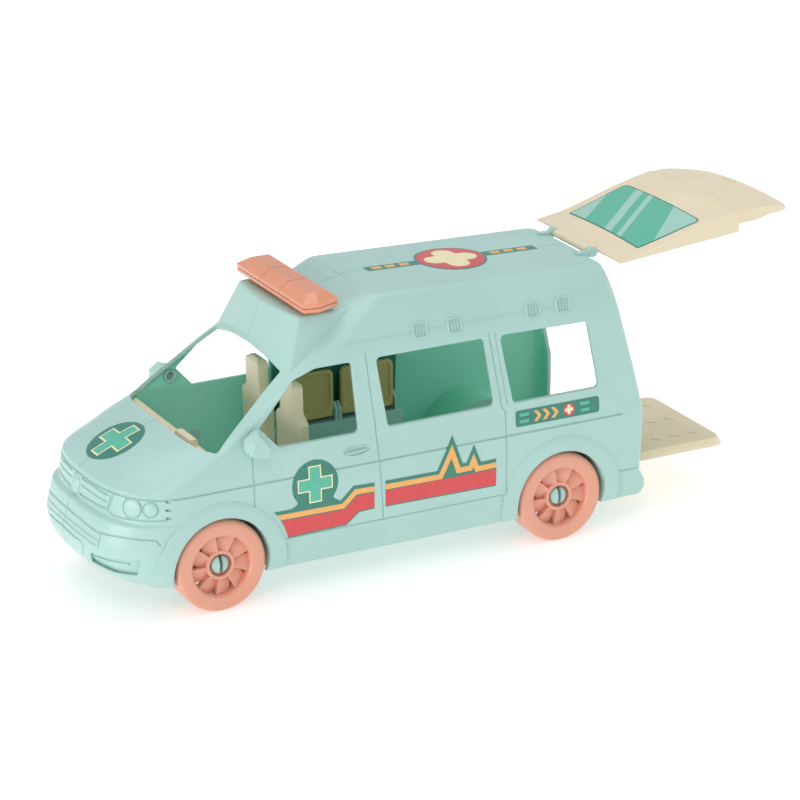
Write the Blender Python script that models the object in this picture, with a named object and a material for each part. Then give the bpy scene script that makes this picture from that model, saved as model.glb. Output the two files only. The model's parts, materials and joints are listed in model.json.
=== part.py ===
"""Toy ambulance van: two moulded body halves on a chassis tray, with opening tailgate,
fold-up ramp, four push-fit turbine wheels and two folding seats on the side wall.

Metres, +Z up, the nose towards -X and the driver's side towards -Y. The van is modelled
about the middle of its wheelbase at ground level, and moved at the end so that the origin
lies under the middle of the whole toy as it stands, tailgate and ramp open.
"""
import math

import bmesh
import bpy
from mathutils import Matrix, Vector

MM = 0.001

# Wheels and stance
WHEELBASE = 197.0 * MM
WHEEL_RADIUS = 24.5 * MM
WHEEL_WIDTH = 16.0 * MM
WHEEL_FACE_Y = 55.2 * MM          # outer face of a wheel from the centre plane
RIM_RADIUS = 15.9 * MM            # inside of the tyre ring
HUB_RADIUS = 8.1 * MM
HUB_MOUTH_RADIUS = 6.05 * MM      # wide outer end of the wheel's bore
PIN_RADIUS = 3.8 * MM             # snap pin that a wheel turns on
PIN_SLIT = 1.8 * MM
BLADE_COUNT = 9
BLADE_TILT = math.radians(17.0)
BLADE_THICKNESS = 1.7 * MM
BLADE_FACE_DEPTH = 3.4 * MM       # from the wheel's outer face to the middle of a blade

# Body shell
FRONT_OVERHANG = 64.0 * MM        # front axle to the foremost point of the bumper
REAR_OVERHANG = 51.1 * MM         # rear axle to the rear edge at the belt line
BODY_WIDTH = 113.2 * MM
SILL_HEIGHT = 16.5 * MM
CREASE_HEIGHT = 32.5 * MM         # line above the sill
BELT_HEIGHT = 65.7 * MM           # line under the windows
GLASS_HEIGHT = 84.0 * MM          # foot of the windscreen at the sides
ROOF_HEIGHT = 148.4 * MM          # ridge at the front of the high roof
ROOF_HALF_WIDTH = 38.5 * MM       # centre plane to the ridge
ROOF_FALL = 0.032                 # drop of the ridge per length towards the rear
ROOF_CROWN = 1.4 * MM
WALL = 2.0 * MM
CREASE_DEPTH = 0.6 * MM
TAIL_LEAN = 16.5 * MM             # how far the rear edge leans forward, belt to roof
TAIL_CORNER = 5.0 * MM
SCREEN_FOOT = (53.0 * MM, 3.9 * MM)      # behind the nose, and above the side's glass height
SCREEN_TOP = (104.5 * MM, 39.4 * MM)

# Wheel arches
ARCH_GAP = 2.0 * MM
FLARE_WIDTH = 8.0 * MM
FLARE_RISE = 1.1 * MM
WELL_WALL = 1.6 * MM
WELL_DEPTH = 25.5 * MM            # from the wheel's face to the inner end of the well

# Openings
WINDOW_CORNER = 2.6 * MM
WINDOW_BASE = 82.8 * MM
WINDOW_TOP = 119.3 * MM
DOORWAY_SHOULDER = 126.0 * MM     # height where its upright sides end
DOORWAY_TOP_HALF_WIDTH = 36.0 * MM
DOORWAY_TOP = ROOF_HEIGHT - 10.4 * MM
FLOOR_HEIGHT = 33.0 * MM          # top of the cabin floor

# Light bar and the step that it stands on
STEP_TOP = ROOF_HEIGHT - 5.6 * MM
STEP_HALF_WIDTH = 34.6 * MM
BAR_HALF_LENGTH = 42.0 * MM
BAR_DEPTH = 21.0 * MM
BAR_HEIGHT = 11.4 * MM
BAR_FOOT_HEIGHT = 3.0 * MM        # foot under the overhanging bar
BAR_FOOT_INSET = 3.0 * MM
BAR_BASE_HEIGHT = 4.8 * MM        # foot and plate below the cover
BAR_BAND_HEIGHT = 2.4 * MM        # upright edge of the cover
BAR_TOP_HALF_LENGTH = 34.2 * MM
BAR_TOP_DEPTH = 10.3 * MM
BAR_SLOPE = 5.4 * MM              # how far the top starts behind the front
BAR_SETBACK = 119.3 * MM          # nose to the front of the light bar
PEG_RADIUS = 1.6 * MM             # pegs that hold the light bar to the step

# Tailgate, as it stands open
TAILGATE_HALF_WIDTH = 44.8 * MM
TAILGATE_BULGE = 0.9 * MM            # how much wider it is at the foot of its window
TAILGATE_WINDOW_LENGTH = 76.0 * MM   # hinge axis to the step in its edge
TAILGATE_LOWER_LENGTH = 37.3 * MM    # step to the tip
TAILGATE_WALL = 1.8 * MM
TAILGATE_HINGE_RADIUS = 2.3 * MM
TAILGATE_HINGE_HALF_LENGTH = 17.5 * MM

# Ramp
RAMP_LENGTH = 68.2 * MM              # hinge axis to the tip
RAMP_SETBACK = 6.1 * MM              # hinge axis ahead of the rear edge
RAMP_HALF_WIDTH = 38.4 * MM
RAMP_THICKNESS = 4.6 * MM
RAMP_WALL = 1.6 * MM

# Chassis and cabin
CHASSIS_BASE = 17.2 * MM
CHASSIS_THICKNESS = 2.0 * MM
FLOOR_THICKNESS = 2.0 * MM
BRACKET_THICKNESS = 4.6 * MM
HINGE_PIN_RADIUS = 1.3 * MM       # of the tailgate and the ramp
SEAT_PIN_RADIUS = 1.1 * MM        # of the folding seats
SCREW_RADIUS = 1.3 * MM
SCREW_HEAD_RADIUS = 2.8 * MM
SCREW_HEAD_HEIGHT = 1.4 * MM      # of its cone, which lies sunk in the tray
BOSS_RADIUS = 3.3 * MM
SEAT_WIDTH = 27.0 * MM
SEAT_HEIGHT = 71.5 * MM
SEAT_OFFSET_Y = 21.0 * MM
SEAT_BACK_X = -41.0 * MM
SEAT_WALL = 1.8 * MM
PANEL_THICKNESS = 1.2 * MM
DASHBOARD_WALL = 1.8 * MM
MIRROR_PLUG_RADIUS = 3.4 * MM
JUMP_SEAT_WIDTH = 31.5 * MM
JUMP_SEAT_HEIGHT = 25.5 * MM
JUMP_SEAT_THICKNESS = 2.8 * MM
JUMP_SEAT_BASE = 52.8 * MM

# Clearances
SEAM_GAP = 0.3 * MM               # between pieces that touch
RUNNING_GAP = 0.4 * MM            # between pieces that turn
PIN_GAP = 0.3 * MM                # radial, round a hinge pin

# Fineness of round shapes
ARCH_SIDES = 24
WELL_SIDES = 16
ROD_SIDES = 12
PIN_SIDES = 8
TYRE_SIDES = 3 * BLADE_COUNT
HUB_SIDES = 2 * BLADE_COUNT
OUTSIDE_STEPS = dict(front=8, side=1, tail=2, cap=6)
INSIDE_STEPS = dict(front=5, side=1, tail=2, cap=3)
STEP_HALF_STEPS = 3               # of the bowed front of the light bar's step
TAILGATE_STEPS = 6                # across the tailgate

FAR = 400.0 * MM                  # reaches past the whole toy, for cutting tools

AXLE_X = WHEELBASE / 2
AXLE_Z = WHEEL_RADIUS
NOSE_X = -AXLE_X - FRONT_OVERHANG
TAIL_X = AXLE_X + REAR_OVERHANG
BAR_FRONT_X = NOSE_X + BAR_SETBACK
HALF_WIDTH = BODY_WIDTH / 2
ARCH_RADIUS = WHEEL_RADIUS + ARCH_GAP
FLARE_RADIUS = ARCH_RADIUS + FLARE_WIDTH
WELL_RADIUS = ARCH_RADIUS + WELL_WALL
WELL_END_Y = WHEEL_FACE_Y - WELL_DEPTH
CHASSIS_TOP = CHASSIS_BASE + CHASSIS_THICKNESS
SCREW_FOOT = CHASSIS_BASE + .1 * MM
WHEEL_BACK_Y = WHEEL_FACE_Y - WHEEL_WIDTH
BRACKET_FACE_Y = WHEEL_BACK_Y - 2.6 * MM

# Hinge axes, in the van's own frame: x and z of a line along Y
TAIL_EDGE_TOP_X = TAIL_X - TAIL_LEAN
TAILGATE_AXIS = (TAIL_EDGE_TOP_X + 3.0 * MM, ROOF_HEIGHT - 2.5 * MM)
RAMP_AXIS = (TAIL_X - RAMP_SETBACK, FLOOR_HEIGHT - 2.5 * MM)
JUMP_SEAT_AXIS_Z = JUMP_SEAT_BASE + 1.4 * MM

MINT = ("mint_plastic", (0.42, 0.66, 0.60), 0.38)
CREAM = ("cream_plastic", (0.78, 0.68, 0.48), 0.42)
SALMON = ("salmon_plastic", (0.80, 0.38, 0.25), 0.36)
GREEN = ("green_plastic", (0.02, 0.15, 0.11), 0.5)
STEEL = ("screw_steel", (0.62, 0.62, 0.62), 0.3)


def remove_everything():
    for item in list(bpy.data.objects):
        bpy.data.objects.remove(item, do_unlink=True)


def material(spec):
    name, colour, roughness = spec
    made = bpy.data.materials.get(name)
    if made is None:
        made = bpy.data.materials.new(name)
        made.use_nodes = True
        shader = made.node_tree.nodes["Principled BSDF"]
        shader.inputs["Base Color"].default_value = (*colour, 1.0)
        shader.inputs["Roughness"].default_value = roughness
        shader.inputs["Metallic"].default_value = 1.0 if spec is STEEL else 0.0
        made.diffuse_color = (*colour, 1.0)
    return made


def join_flat_faces(item, angle=0.1):
    """Merge faces that lie in one plane, which booleans leave in strips, then triangulate."""
    bm = bmesh.new()
    bm.from_mesh(item.data)
    bmesh.ops.dissolve_limit(bm, angle_limit=math.radians(angle), verts=bm.verts, edges=bm.edges)
    bmesh.ops.triangulate(bm, faces=bm.faces)
    bm.to_mesh(item.data)
    bm.free()
    return item


def new_object(name, bm, spec=None):
    """Put a bmesh into the scene as an object, with its faces turned outwards."""
    bmesh.ops.recalc_face_normals(bm, faces=bm.faces)
    mesh = bpy.data.meshes.new(name)
    bm.to_mesh(mesh)
    bm.free()
    made = bpy.data.objects.new(name, mesh)
    bpy.context.scene.collection.objects.link(made)
    if spec:
        mesh.materials.append(material(spec))
    return made


def boolean(target, tool, operation, keep_tool=False):
    """Apply one exact boolean to target, and remove the tool unless it is still wanted."""
    step = target.modifiers.new(operation.lower(), "BOOLEAN")
    step.operation = operation
    step.solver = "EXACT"
    step.object = tool
    view = bpy.context.evaluated_depsgraph_get()
    result = bpy.data.meshes.new_from_object(target.evaluated_get(view))
    target.modifiers.clear()
    old = target.data
    target.data = result
    bpy.data.meshes.remove(old)
    if not keep_tool:
        bpy.data.objects.remove(tool, do_unlink=True)
    return target


def cut(target, *tools):
    for tool in tools:
        boolean(target, tool, "DIFFERENCE")
    return target


def fuse(target, *tools):
    for tool in tools:
        boolean(target, tool, "UNION")
    return target


def keep_inside(target, tool):
    return boolean(target, tool, "INTERSECT")


def duplicate(source, name):
    made = source.copy()
    made.data = source.data.copy()
    made.name = name
    bpy.context.scene.collection.objects.link(made)
    return made


def smooth(item, angle=32.0):
    join_flat_faces(item)
    item.data.shade_smooth()
    item.data.set_sharp_from_angle(angle=math.radians(angle))
    return item


def block(name, low, high, spec=None):
    bm = bmesh.new()
    bmesh.ops.create_cube(bm, size=1.0)
    size = Vector(high) - Vector(low)
    middle = (Vector(high) + Vector(low)) / 2
    for vertex in bm.verts:
        vertex.co = Vector(a * b for a, b in zip(vertex.co, size)) + middle
    return new_object(name, bm, spec)


def along(axis, a, b, c):
    """Point with c along the axis, and a and b along the other two in X, Y, Z order."""
    return {"X": (c, a, b), "Y": (a, c, b), "Z": (a, b, c)}[axis]


def prism(name, outline, axis, low, high, spec=None):
    """Closed outline of (a, b) points, extruded along an axis from low to high."""
    bm = bmesh.new()
    near = [bm.verts.new(along(axis, a, b, low)) for a, b in outline]
    far = [bm.verts.new(along(axis, a, b, high)) for a, b in outline]
    bm.faces.new(near)
    bm.faces.new(list(reversed(far)))
    count = len(outline)
    for i in range(count):
        j = (i + 1) % count
        bm.faces.new((near[i], far[i], far[j], near[j]))
    return new_object(name, bm, spec)


def rod(name, axis, centre, radius, low, high, sides=ROD_SIDES, spec=None, turn=0.5):
    """Round bar along an axis: centre is its (a, b) place across that axis."""
    outline = []
    for i in range(sides):
        angle = 2 * math.pi * (i + turn) / sides
        outline.append((centre[0] + radius * math.cos(angle), centre[1] + radius * math.sin(angle)))
    return prism(name, outline, axis, low, high, spec)


def rounded(corners, radius, steps=3):
    """Outline with each corner replaced by an arc: radius may be one value or one each."""
    points = [Vector(p) for p in corners]
    radii = radius if isinstance(radius, (list, tuple)) else [radius] * len(points)
    outline = []
    for i, corner in enumerate(points):
        before = (points[i - 1] - corner).normalized()
        after = (points[(i + 1) % len(points)] - corner).normalized()
        size = radii[i]
        if size <= 0:
            outline.append(tuple(corner))
            continue
        half = before.angle(after) / 2
        reach = size / math.tan(half)
        centre = corner + (before + after).normalized() * size / math.sin(half)
        start = corner + before * reach - centre
        end = corner + after * reach - centre
        sweep = start.angle_signed(end)
        for k in range(steps + 1):
            spin = Matrix.Rotation(-sweep * k / steps, 2)
            outline.append(tuple(centre + spin @ start))
    return outline


def mirrored(half_outline):
    """Outline on both sides of a = 0 from its points on the positive side, low to high."""
    return half_outline + [(-a, b) for a, b in reversed(half_outline) if a > 0]


def turned(name, profile, centre, sides, spec=None):
    """Closed (radius, y) profile turned about a line along Y through centre = (x, z)."""
    bm = bmesh.new()
    loops = []
    for i in range(sides):
        angle = 2 * math.pi * i / sides
        loops.append([bm.verts.new((centre[0] + r * math.cos(angle), y,
                                    centre[1] + r * math.sin(angle))) for r, y in profile])
    count = len(profile)
    for i in range(sides):
        a, b = loops[i], loops[(i + 1) % sides]
        for k in range(count):
            n = (k + 1) % count
            bm.faces.new((a[k], a[n], b[n], b[k]))
    return new_object(name, bm, spec)


def spindle(name, profile, centre, sides, spec=None):
    """Solid turned about a line along Y: profile is (radius, y) from end to end."""
    bm = bmesh.new()
    loops = []
    for radius, y in profile:
        loops.append([bm.verts.new((centre[0] + radius * math.cos(2 * math.pi * (i + .5) / sides), y,
                                    centre[1] + radius * math.sin(2 * math.pi * (i + .5) / sides)))
                      for i in range(sides)])
    for low, high in zip(loops, loops[1:]):
        for i in range(sides):
            j = (i + 1) % sides
            bm.faces.new((low[i], low[j], high[j], high[i]))
    bm.faces.new(list(reversed(loops[0])))
    bm.faces.new(loops[-1])
    return new_object(name, bm, spec)


# The body surface is a stack of level rings. Each ring has its height at the side and at
# the nose, its foremost x, the x where its straight side begins, its half width, how full
# its front corners are, its rear x, and its fall per length behind that bend. Rings that
# only draw a crease or a lip are left out of the inner surface.
def ring(side_z, nose_z, nose_x, bend_x, half_width, fullness, rear_x, fall=0.0, fine=False):
    return dict(side_z=side_z, nose_z=nose_z, nose_x=nose_x, bend_x=bend_x, fine=fine,
                half_width=half_width, fullness=fullness, rear_x=rear_x, fall=fall)


def nose(distance):
    return NOSE_X + distance * MM


def narrow(distance):
    return HALF_WIDTH - distance * MM


def lean(height):
    """Rear edge: upright to the belt line, then leaning forward up to the roof."""
    rise = max(0.0, height - BELT_HEIGHT) / (ROOF_HEIGHT - BELT_HEIGHT)
    return TAIL_X - TAIL_LEAN * rise


def between(low, high, share):
    return low + (high - low) * share


def body_rings():
    sill, crease, belt, glass, roof = (SILL_HEIGHT, CREASE_HEIGHT, BELT_HEIGHT,
                                       GLASS_HEIGHT, ROOF_HEIGHT)
    groove = CREASE_DEPTH
    rings = [
        ring(sill, sill, nose(16), nose(50.5), narrow(4.1), 2.2, TAIL_X + 1.9 * MM),
        ring(between(sill, crease, .3), between(sill, crease, .3), nose(9.5), nose(50.5),
             narrow(2.6), 2.4, TAIL_X + 3.4 * MM),
        ring(between(sill, crease, .66), between(sill, crease, .66), nose(3.8), nose(50.5),
             narrow(1.3), 2.6, TAIL_X + 1.3 * MM),
        ring(crease - .8 * MM, crease - .8 * MM, nose(1.2), nose(50.5), narrow(1.0), 2.7,
             TAIL_X - 1.2 * MM),
        ring(crease, crease, nose(1.0), nose(50.5), narrow(1.0) - groove, 2.7,
             TAIL_X - 1.2 * MM, fine=True),
        ring(crease + .8 * MM, crease + .8 * MM, nose(.8), nose(50.5), narrow(.7), 2.7,
             TAIL_X - 1.1 * MM, fine=True),
        ring(crease + 6 * MM, crease + 6 * MM, nose(0), nose(50.5), narrow(.4), 2.8,
             TAIL_X - .9 * MM),
        ring(crease + 13 * MM, crease + 13.5 * MM, nose(2), nose(50.5), narrow(.1), 2.8,
             TAIL_X - .6 * MM),
        ring(belt - 14.2 * MM, belt - 10.9 * MM, nose(4.4), nose(50.5), narrow(0), 2.8,
             TAIL_X - .3 * MM, fine=True),
        ring(belt - 13.4 * MM, belt - 10.1 * MM, nose(7.7), nose(50.5), narrow(0), 2.7,
             TAIL_X - .3 * MM),
        ring(belt - .8 * MM, belt + 1.2 * MM, nose(9.2), nose(49), narrow(.2), 2.5, TAIL_X),
        ring(belt, belt + 2 * MM, nose(10), nose(49), narrow(.3) - groove, 2.5, TAIL_X,
             fine=True),
        ring(belt + .8 * MM, belt + 2.8 * MM, nose(9.3), nose(49), narrow(.4), 2.5, TAIL_X,
             fine=True),
        ring(belt + 3.4 * MM, belt + 6 * MM, nose(12.2), nose(52), narrow(.7), 2.5,
             lean(belt + 3.4 * MM)),
        ring(between(belt, glass, .42), between(belt, glass, .42) + 3.8 * MM, nose(23.5),
             nose(58), narrow(1.0), 2.5, lean(between(belt, glass, .42))),
        ring(between(belt, glass, .72), between(belt, glass, .72) + 3.8 * MM, nose(36.5),
             nose(64), narrow(1.5), 2.6, lean(between(belt, glass, .72))),
        ring(glass, glass + 3.9 * MM, nose(53), nose(70.5), narrow(1.9), 2.7, lean(glass)),
    ]
    # Windscreen and the roof behind it: heights as shares of the way from glass to roof
    for share, lift, back, bend, inset, fullness in (
            (.23, 6.6, 78.8, 91.5, 4.0, 3.4), (.465, 9.4, 104.5, 112.5, 6.1, 4.0),
            (.59, 9.0, 118.5, 128.5, 7.2, 3.8), (.73, 7.5, 132.5, 142.5, 9.4, 3.6),
            (.86, 6.0, 145.0, 154.5, 12.3, 3.6)):
        height = between(glass, roof, share)
        rings.append(ring(height, height + lift * MM, nose(back), nose(bend), narrow(inset),
                          fullness, lean(height), ROOF_FALL * share ** 3))
    rings.append(ring(roof, roof + .6 * MM, nose(156.5), nose(165), ROOF_HALF_WIDTH, 3.6,
                      lean(roof), ROOF_FALL))
    return rings


def half_ring(level, steps):
    """Points of one ring on the driver's side, from the nose round to the tail."""
    points = []
    reach = level["bend_x"] - level["nose_x"]
    width = level["half_width"]
    power = 2 / level["fullness"]
    rise = level["nose_z"] - level["side_z"]
    for i in range(steps["front"] + 1):
        angle = math.pi / 2 * i / steps["front"]
        y = width * max(0.0, math.sin(angle)) ** power
        x = level["bend_x"] - reach * max(0.0, math.cos(angle)) ** power
        points.append((x, -y, level["side_z"] + rise * (1 - (y / width) ** 2)))
    corner_x = level["rear_x"] - TAIL_CORNER
    for i in range(1, steps["side"] + 1):
        x = between(level["bend_x"], corner_x, i / steps["side"])
        points.append((x, -width, level["side_z"]))
    for i in range(1, steps["tail"] + 1):
        angle = math.pi / 2 * i / steps["tail"]
        points.append((corner_x + TAIL_CORNER * math.sin(angle),
                       -width + TAIL_CORNER * (1 - math.cos(angle)), level["side_z"]))
    points.append((level["rear_x"], 0.0, level["side_z"]))
    fallen = []
    for x, y, z in points:
        fallen.append(Vector((x, y, z - level["fall"] * max(0.0, x - level["bend_x"]))))
    return fallen


def body_solid(name, inset=0.0, foot=None, spec=None):
    """The van's outer form, moved inwards by inset. A foot height opens it downwards."""
    levels = [level for level in body_rings() if not (inset and level["fine"])]
    steps = INSIDE_STEPS if inset > 0 else OUTSIDE_STEPS
    bm = bmesh.new()
    grid = []
    for level in levels:
        half = half_ring(level, steps)
        loop = half + [Vector((p.x, -p.y, p.z)) for p in reversed(half[1:-1])]
        grid.append([bm.verts.new(p) for p in loop])
    # Quads are split alike on both sides and at every inset, so that offset forms stay parallel
    count = len(grid[0])
    for low, high in zip(grid, grid[1:]):
        for j in range(count):
            n = (j + 1) % count
            if j < count // 2:
                bm.faces.new((low[j], low[n], high[n]))
                bm.faces.new((low[j], high[n], high[j]))
            else:
                bm.faces.new((low[j], low[n], high[j]))
                bm.faces.new((low[n], high[n], high[j]))
    top = grid[-1]
    if inset:
        bm.normal_update()
        heights = [vertex.co.z - inset for vertex in top]
        moves = [(vertex, vertex.co - vertex.normal * inset) for vertex in bm.verts]
        for vertex, place in moves:
            vertex.co = place
        for vertex, height in zip(top, heights):
            vertex.co.z = height
    last = count // 2
    rows = []
    for j in range(last + 1):
        left, right = top[j], top[-j % count]
        if left == right:
            rows.append([left] * (steps["cap"] + 1))
            continue
        crown = ROOF_CROWN * (left.co.y / ROOF_HALF_WIDTH) ** 2
        row = [left]
        for k in range(1, steps["cap"]):
            share = k / steps["cap"]
            lift = crown * (1 - (2 * share - 1) ** 2)
            row.append(bm.verts.new(left.co.lerp(right.co, share) + Vector((0, 0, lift))))
        rows.append(row + [right])
    for j in range(last):
        for k in range(steps["cap"]):
            face = []
            for vertex in (rows[j][k], rows[j + 1][k], rows[j + 1][k + 1], rows[j][k + 1]):
                if vertex not in face:
                    face.append(vertex)
            bm.faces.new(face)
    if foot is not None:
        for vertex in grid[0]:
            vertex.co.z = SILL_HEIGHT
        lower = [bm.verts.new((v.co.x, v.co.y, foot)) for v in grid[0]]
        for j in range(count):
            n = (j + 1) % count
            bm.faces.new((lower[j], lower[n], grid[0][n], grid[0][j]))
        grid[0] = lower
    bm.faces.new(list(reversed(grid[0])))
    return new_object(name, bm, spec)


def lamp_step(name, inset=0.0):
    """Raised step over the windscreen that carries the light bar: bowed front, tapered sides."""
    bow = 4.6 * MM
    back_x = nose(151) - inset
    bm = bmesh.new()
    loops = []
    foot = between(GLASS_HEIGHT, ROOF_HEIGHT, .45)
    edge = 1.2 * MM
    for height, front_x, half_width in (
            (foot, nose(102), STEP_HALF_WIDTH + 11.5 * MM),
            (STEP_TOP - edge - inset, nose(113.2), STEP_HALF_WIDTH + .8 * MM),
            (STEP_TOP - inset, nose(114.6), STEP_HALF_WIDTH - .6 * MM)):
        wide = half_width - inset
        loop = []
        for i in range(2 * STEP_HALF_STEPS + 1):
            share = i / STEP_HALF_STEPS - 1
            x = front_x + inset + bow * share ** 2
            loop.append(bm.verts.new((x, wide * share, height)))
        loop.append(bm.verts.new((back_x, wide, loop[-1].co.z)))
        loop.append(bm.verts.new((back_x, -wide, loop[0].co.z)))
        loops.append(loop)
    count = len(loops[0])
    for low, high in zip(loops, loops[1:]):
        for j in range(count):
            n = (j + 1) % count
            bm.faces.new((low[j], low[n], high[n], high[j]))
    bm.faces.new(list(reversed(loops[0])))
    bm.faces.new(loops[-1])
    return new_object(name, bm)


def axles():
    """Wheel places: name, x, and side as -1 for the driver's side or 1 for the other."""
    for end, x in (("front", -AXLE_X), ("rear", AXLE_X)):
        for side, sign in (("left", -1), ("right", 1)):
            yield f"{end}_{side}", x, sign


def span(sign, near, far):
    """Order two distances from the centre plane on one side as low and high y."""
    return (near, far) if sign > 0 else (-far, -near)


def pillar_x(height):
    """x of the slanted pillar's rear edge, in front of the door window, at a height."""
    return nose(87.2) + height - GLASS_HEIGHT - 10.1 * MM


def front_window():
    """Outline in x and z of the window in each front door."""
    base, top = WINDOW_BASE, WINDOW_TOP
    shoulder, elbow = top - 4.8 * MM, base + 11.3 * MM
    corners = [(pillar_x(elbow) + 10.1 * MM, base), (nose(142.1), base), (nose(141), top),
               (pillar_x(shoulder) + 12.5 * MM, top), (pillar_x(shoulder), shoulder),
               (pillar_x(elbow), elbow)]
    return rounded(corners, [.8 * MM, WINDOW_CORNER, WINDOW_CORNER, 9 * MM, 9 * MM, 1.2 * MM])


def side_windows():
    """Outlines in x and z of the middle and rear windows on the driver's side."""
    base, top = WINDOW_BASE, WINDOW_TOP
    middle = [(nose(159), base), (nose(221), base + .6 * MM), (nose(217.4), top),
              (nose(154.9), top)]
    rear = [(AXLE_X - 28.8 * MM, base), (AXLE_X + 22.9 * MM, base),
            (AXLE_X + 18.2 * MM, top - .8 * MM), (AXLE_X - 34.1 * MM, top)]
    return [rounded(outline, WINDOW_CORNER) for outline in (middle, rear)]


def windscreen_cutter():
    """Prism square to the windscreen's slope, with the outline of its opening."""
    foot = Vector((NOSE_X + SCREEN_FOOT[0], 0, GLASS_HEIGHT + SCREEN_FOOT[1]))
    top = Vector((NOSE_X + SCREEN_TOP[0], 0, GLASS_HEIGHT + SCREEN_TOP[1]))
    up = (top - foot).normalized()
    out = Vector((-up.z, 0, up.x))
    length = (top - foot).length
    low_half, high_half = HALF_WIDTH - 3.9 * MM, HALF_WIDTH - 16.4 * MM
    half = [(0, .3 * MM), (low_half * .5, .6 * MM), (low_half * .84, 2.6 * MM),
            (low_half, 7 * MM), (high_half, length - 2.4 * MM), (high_half * .5, length - .6 * MM),
            (0, length)]
    outline = rounded(mirrored(half), 1.6 * MM, 2)
    bm = bmesh.new()
    near = [bm.verts.new(foot + up * s + Vector((0, y, 0)) - out * 14 * MM) for y, s in outline]
    far = [bm.verts.new(foot + up * s + Vector((0, y, 0)) + out * 12 * MM) for y, s in outline]
    bm.faces.new(near)
    bm.faces.new(list(reversed(far)))
    for i in range(len(outline)):
        j = (i + 1) % len(outline)
        bm.faces.new((near[i], far[i], far[j], near[j]))
    return new_object("windscreen_cutter", bm)


def mirror_plug_place():
    """x and z of the mirror's plug, between the door window and the windscreen."""
    height = WINDOW_BASE + 7.6 * MM
    return pillar_x(height) + .5 * MM, height


def screw_places():
    """x, y and direction to the nearest wall of each chassis screw."""
    for sign in (-1, 1):
        yield nose(24.5), 18 * MM * sign, (-1, 0)
        yield 0.0, HALF_WIDTH * sign - 10 * MM * sign, (0, sign)
        yield RAMP_AXIS[0] - 14 * MM, 30 * MM * sign, (1, 0)


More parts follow.
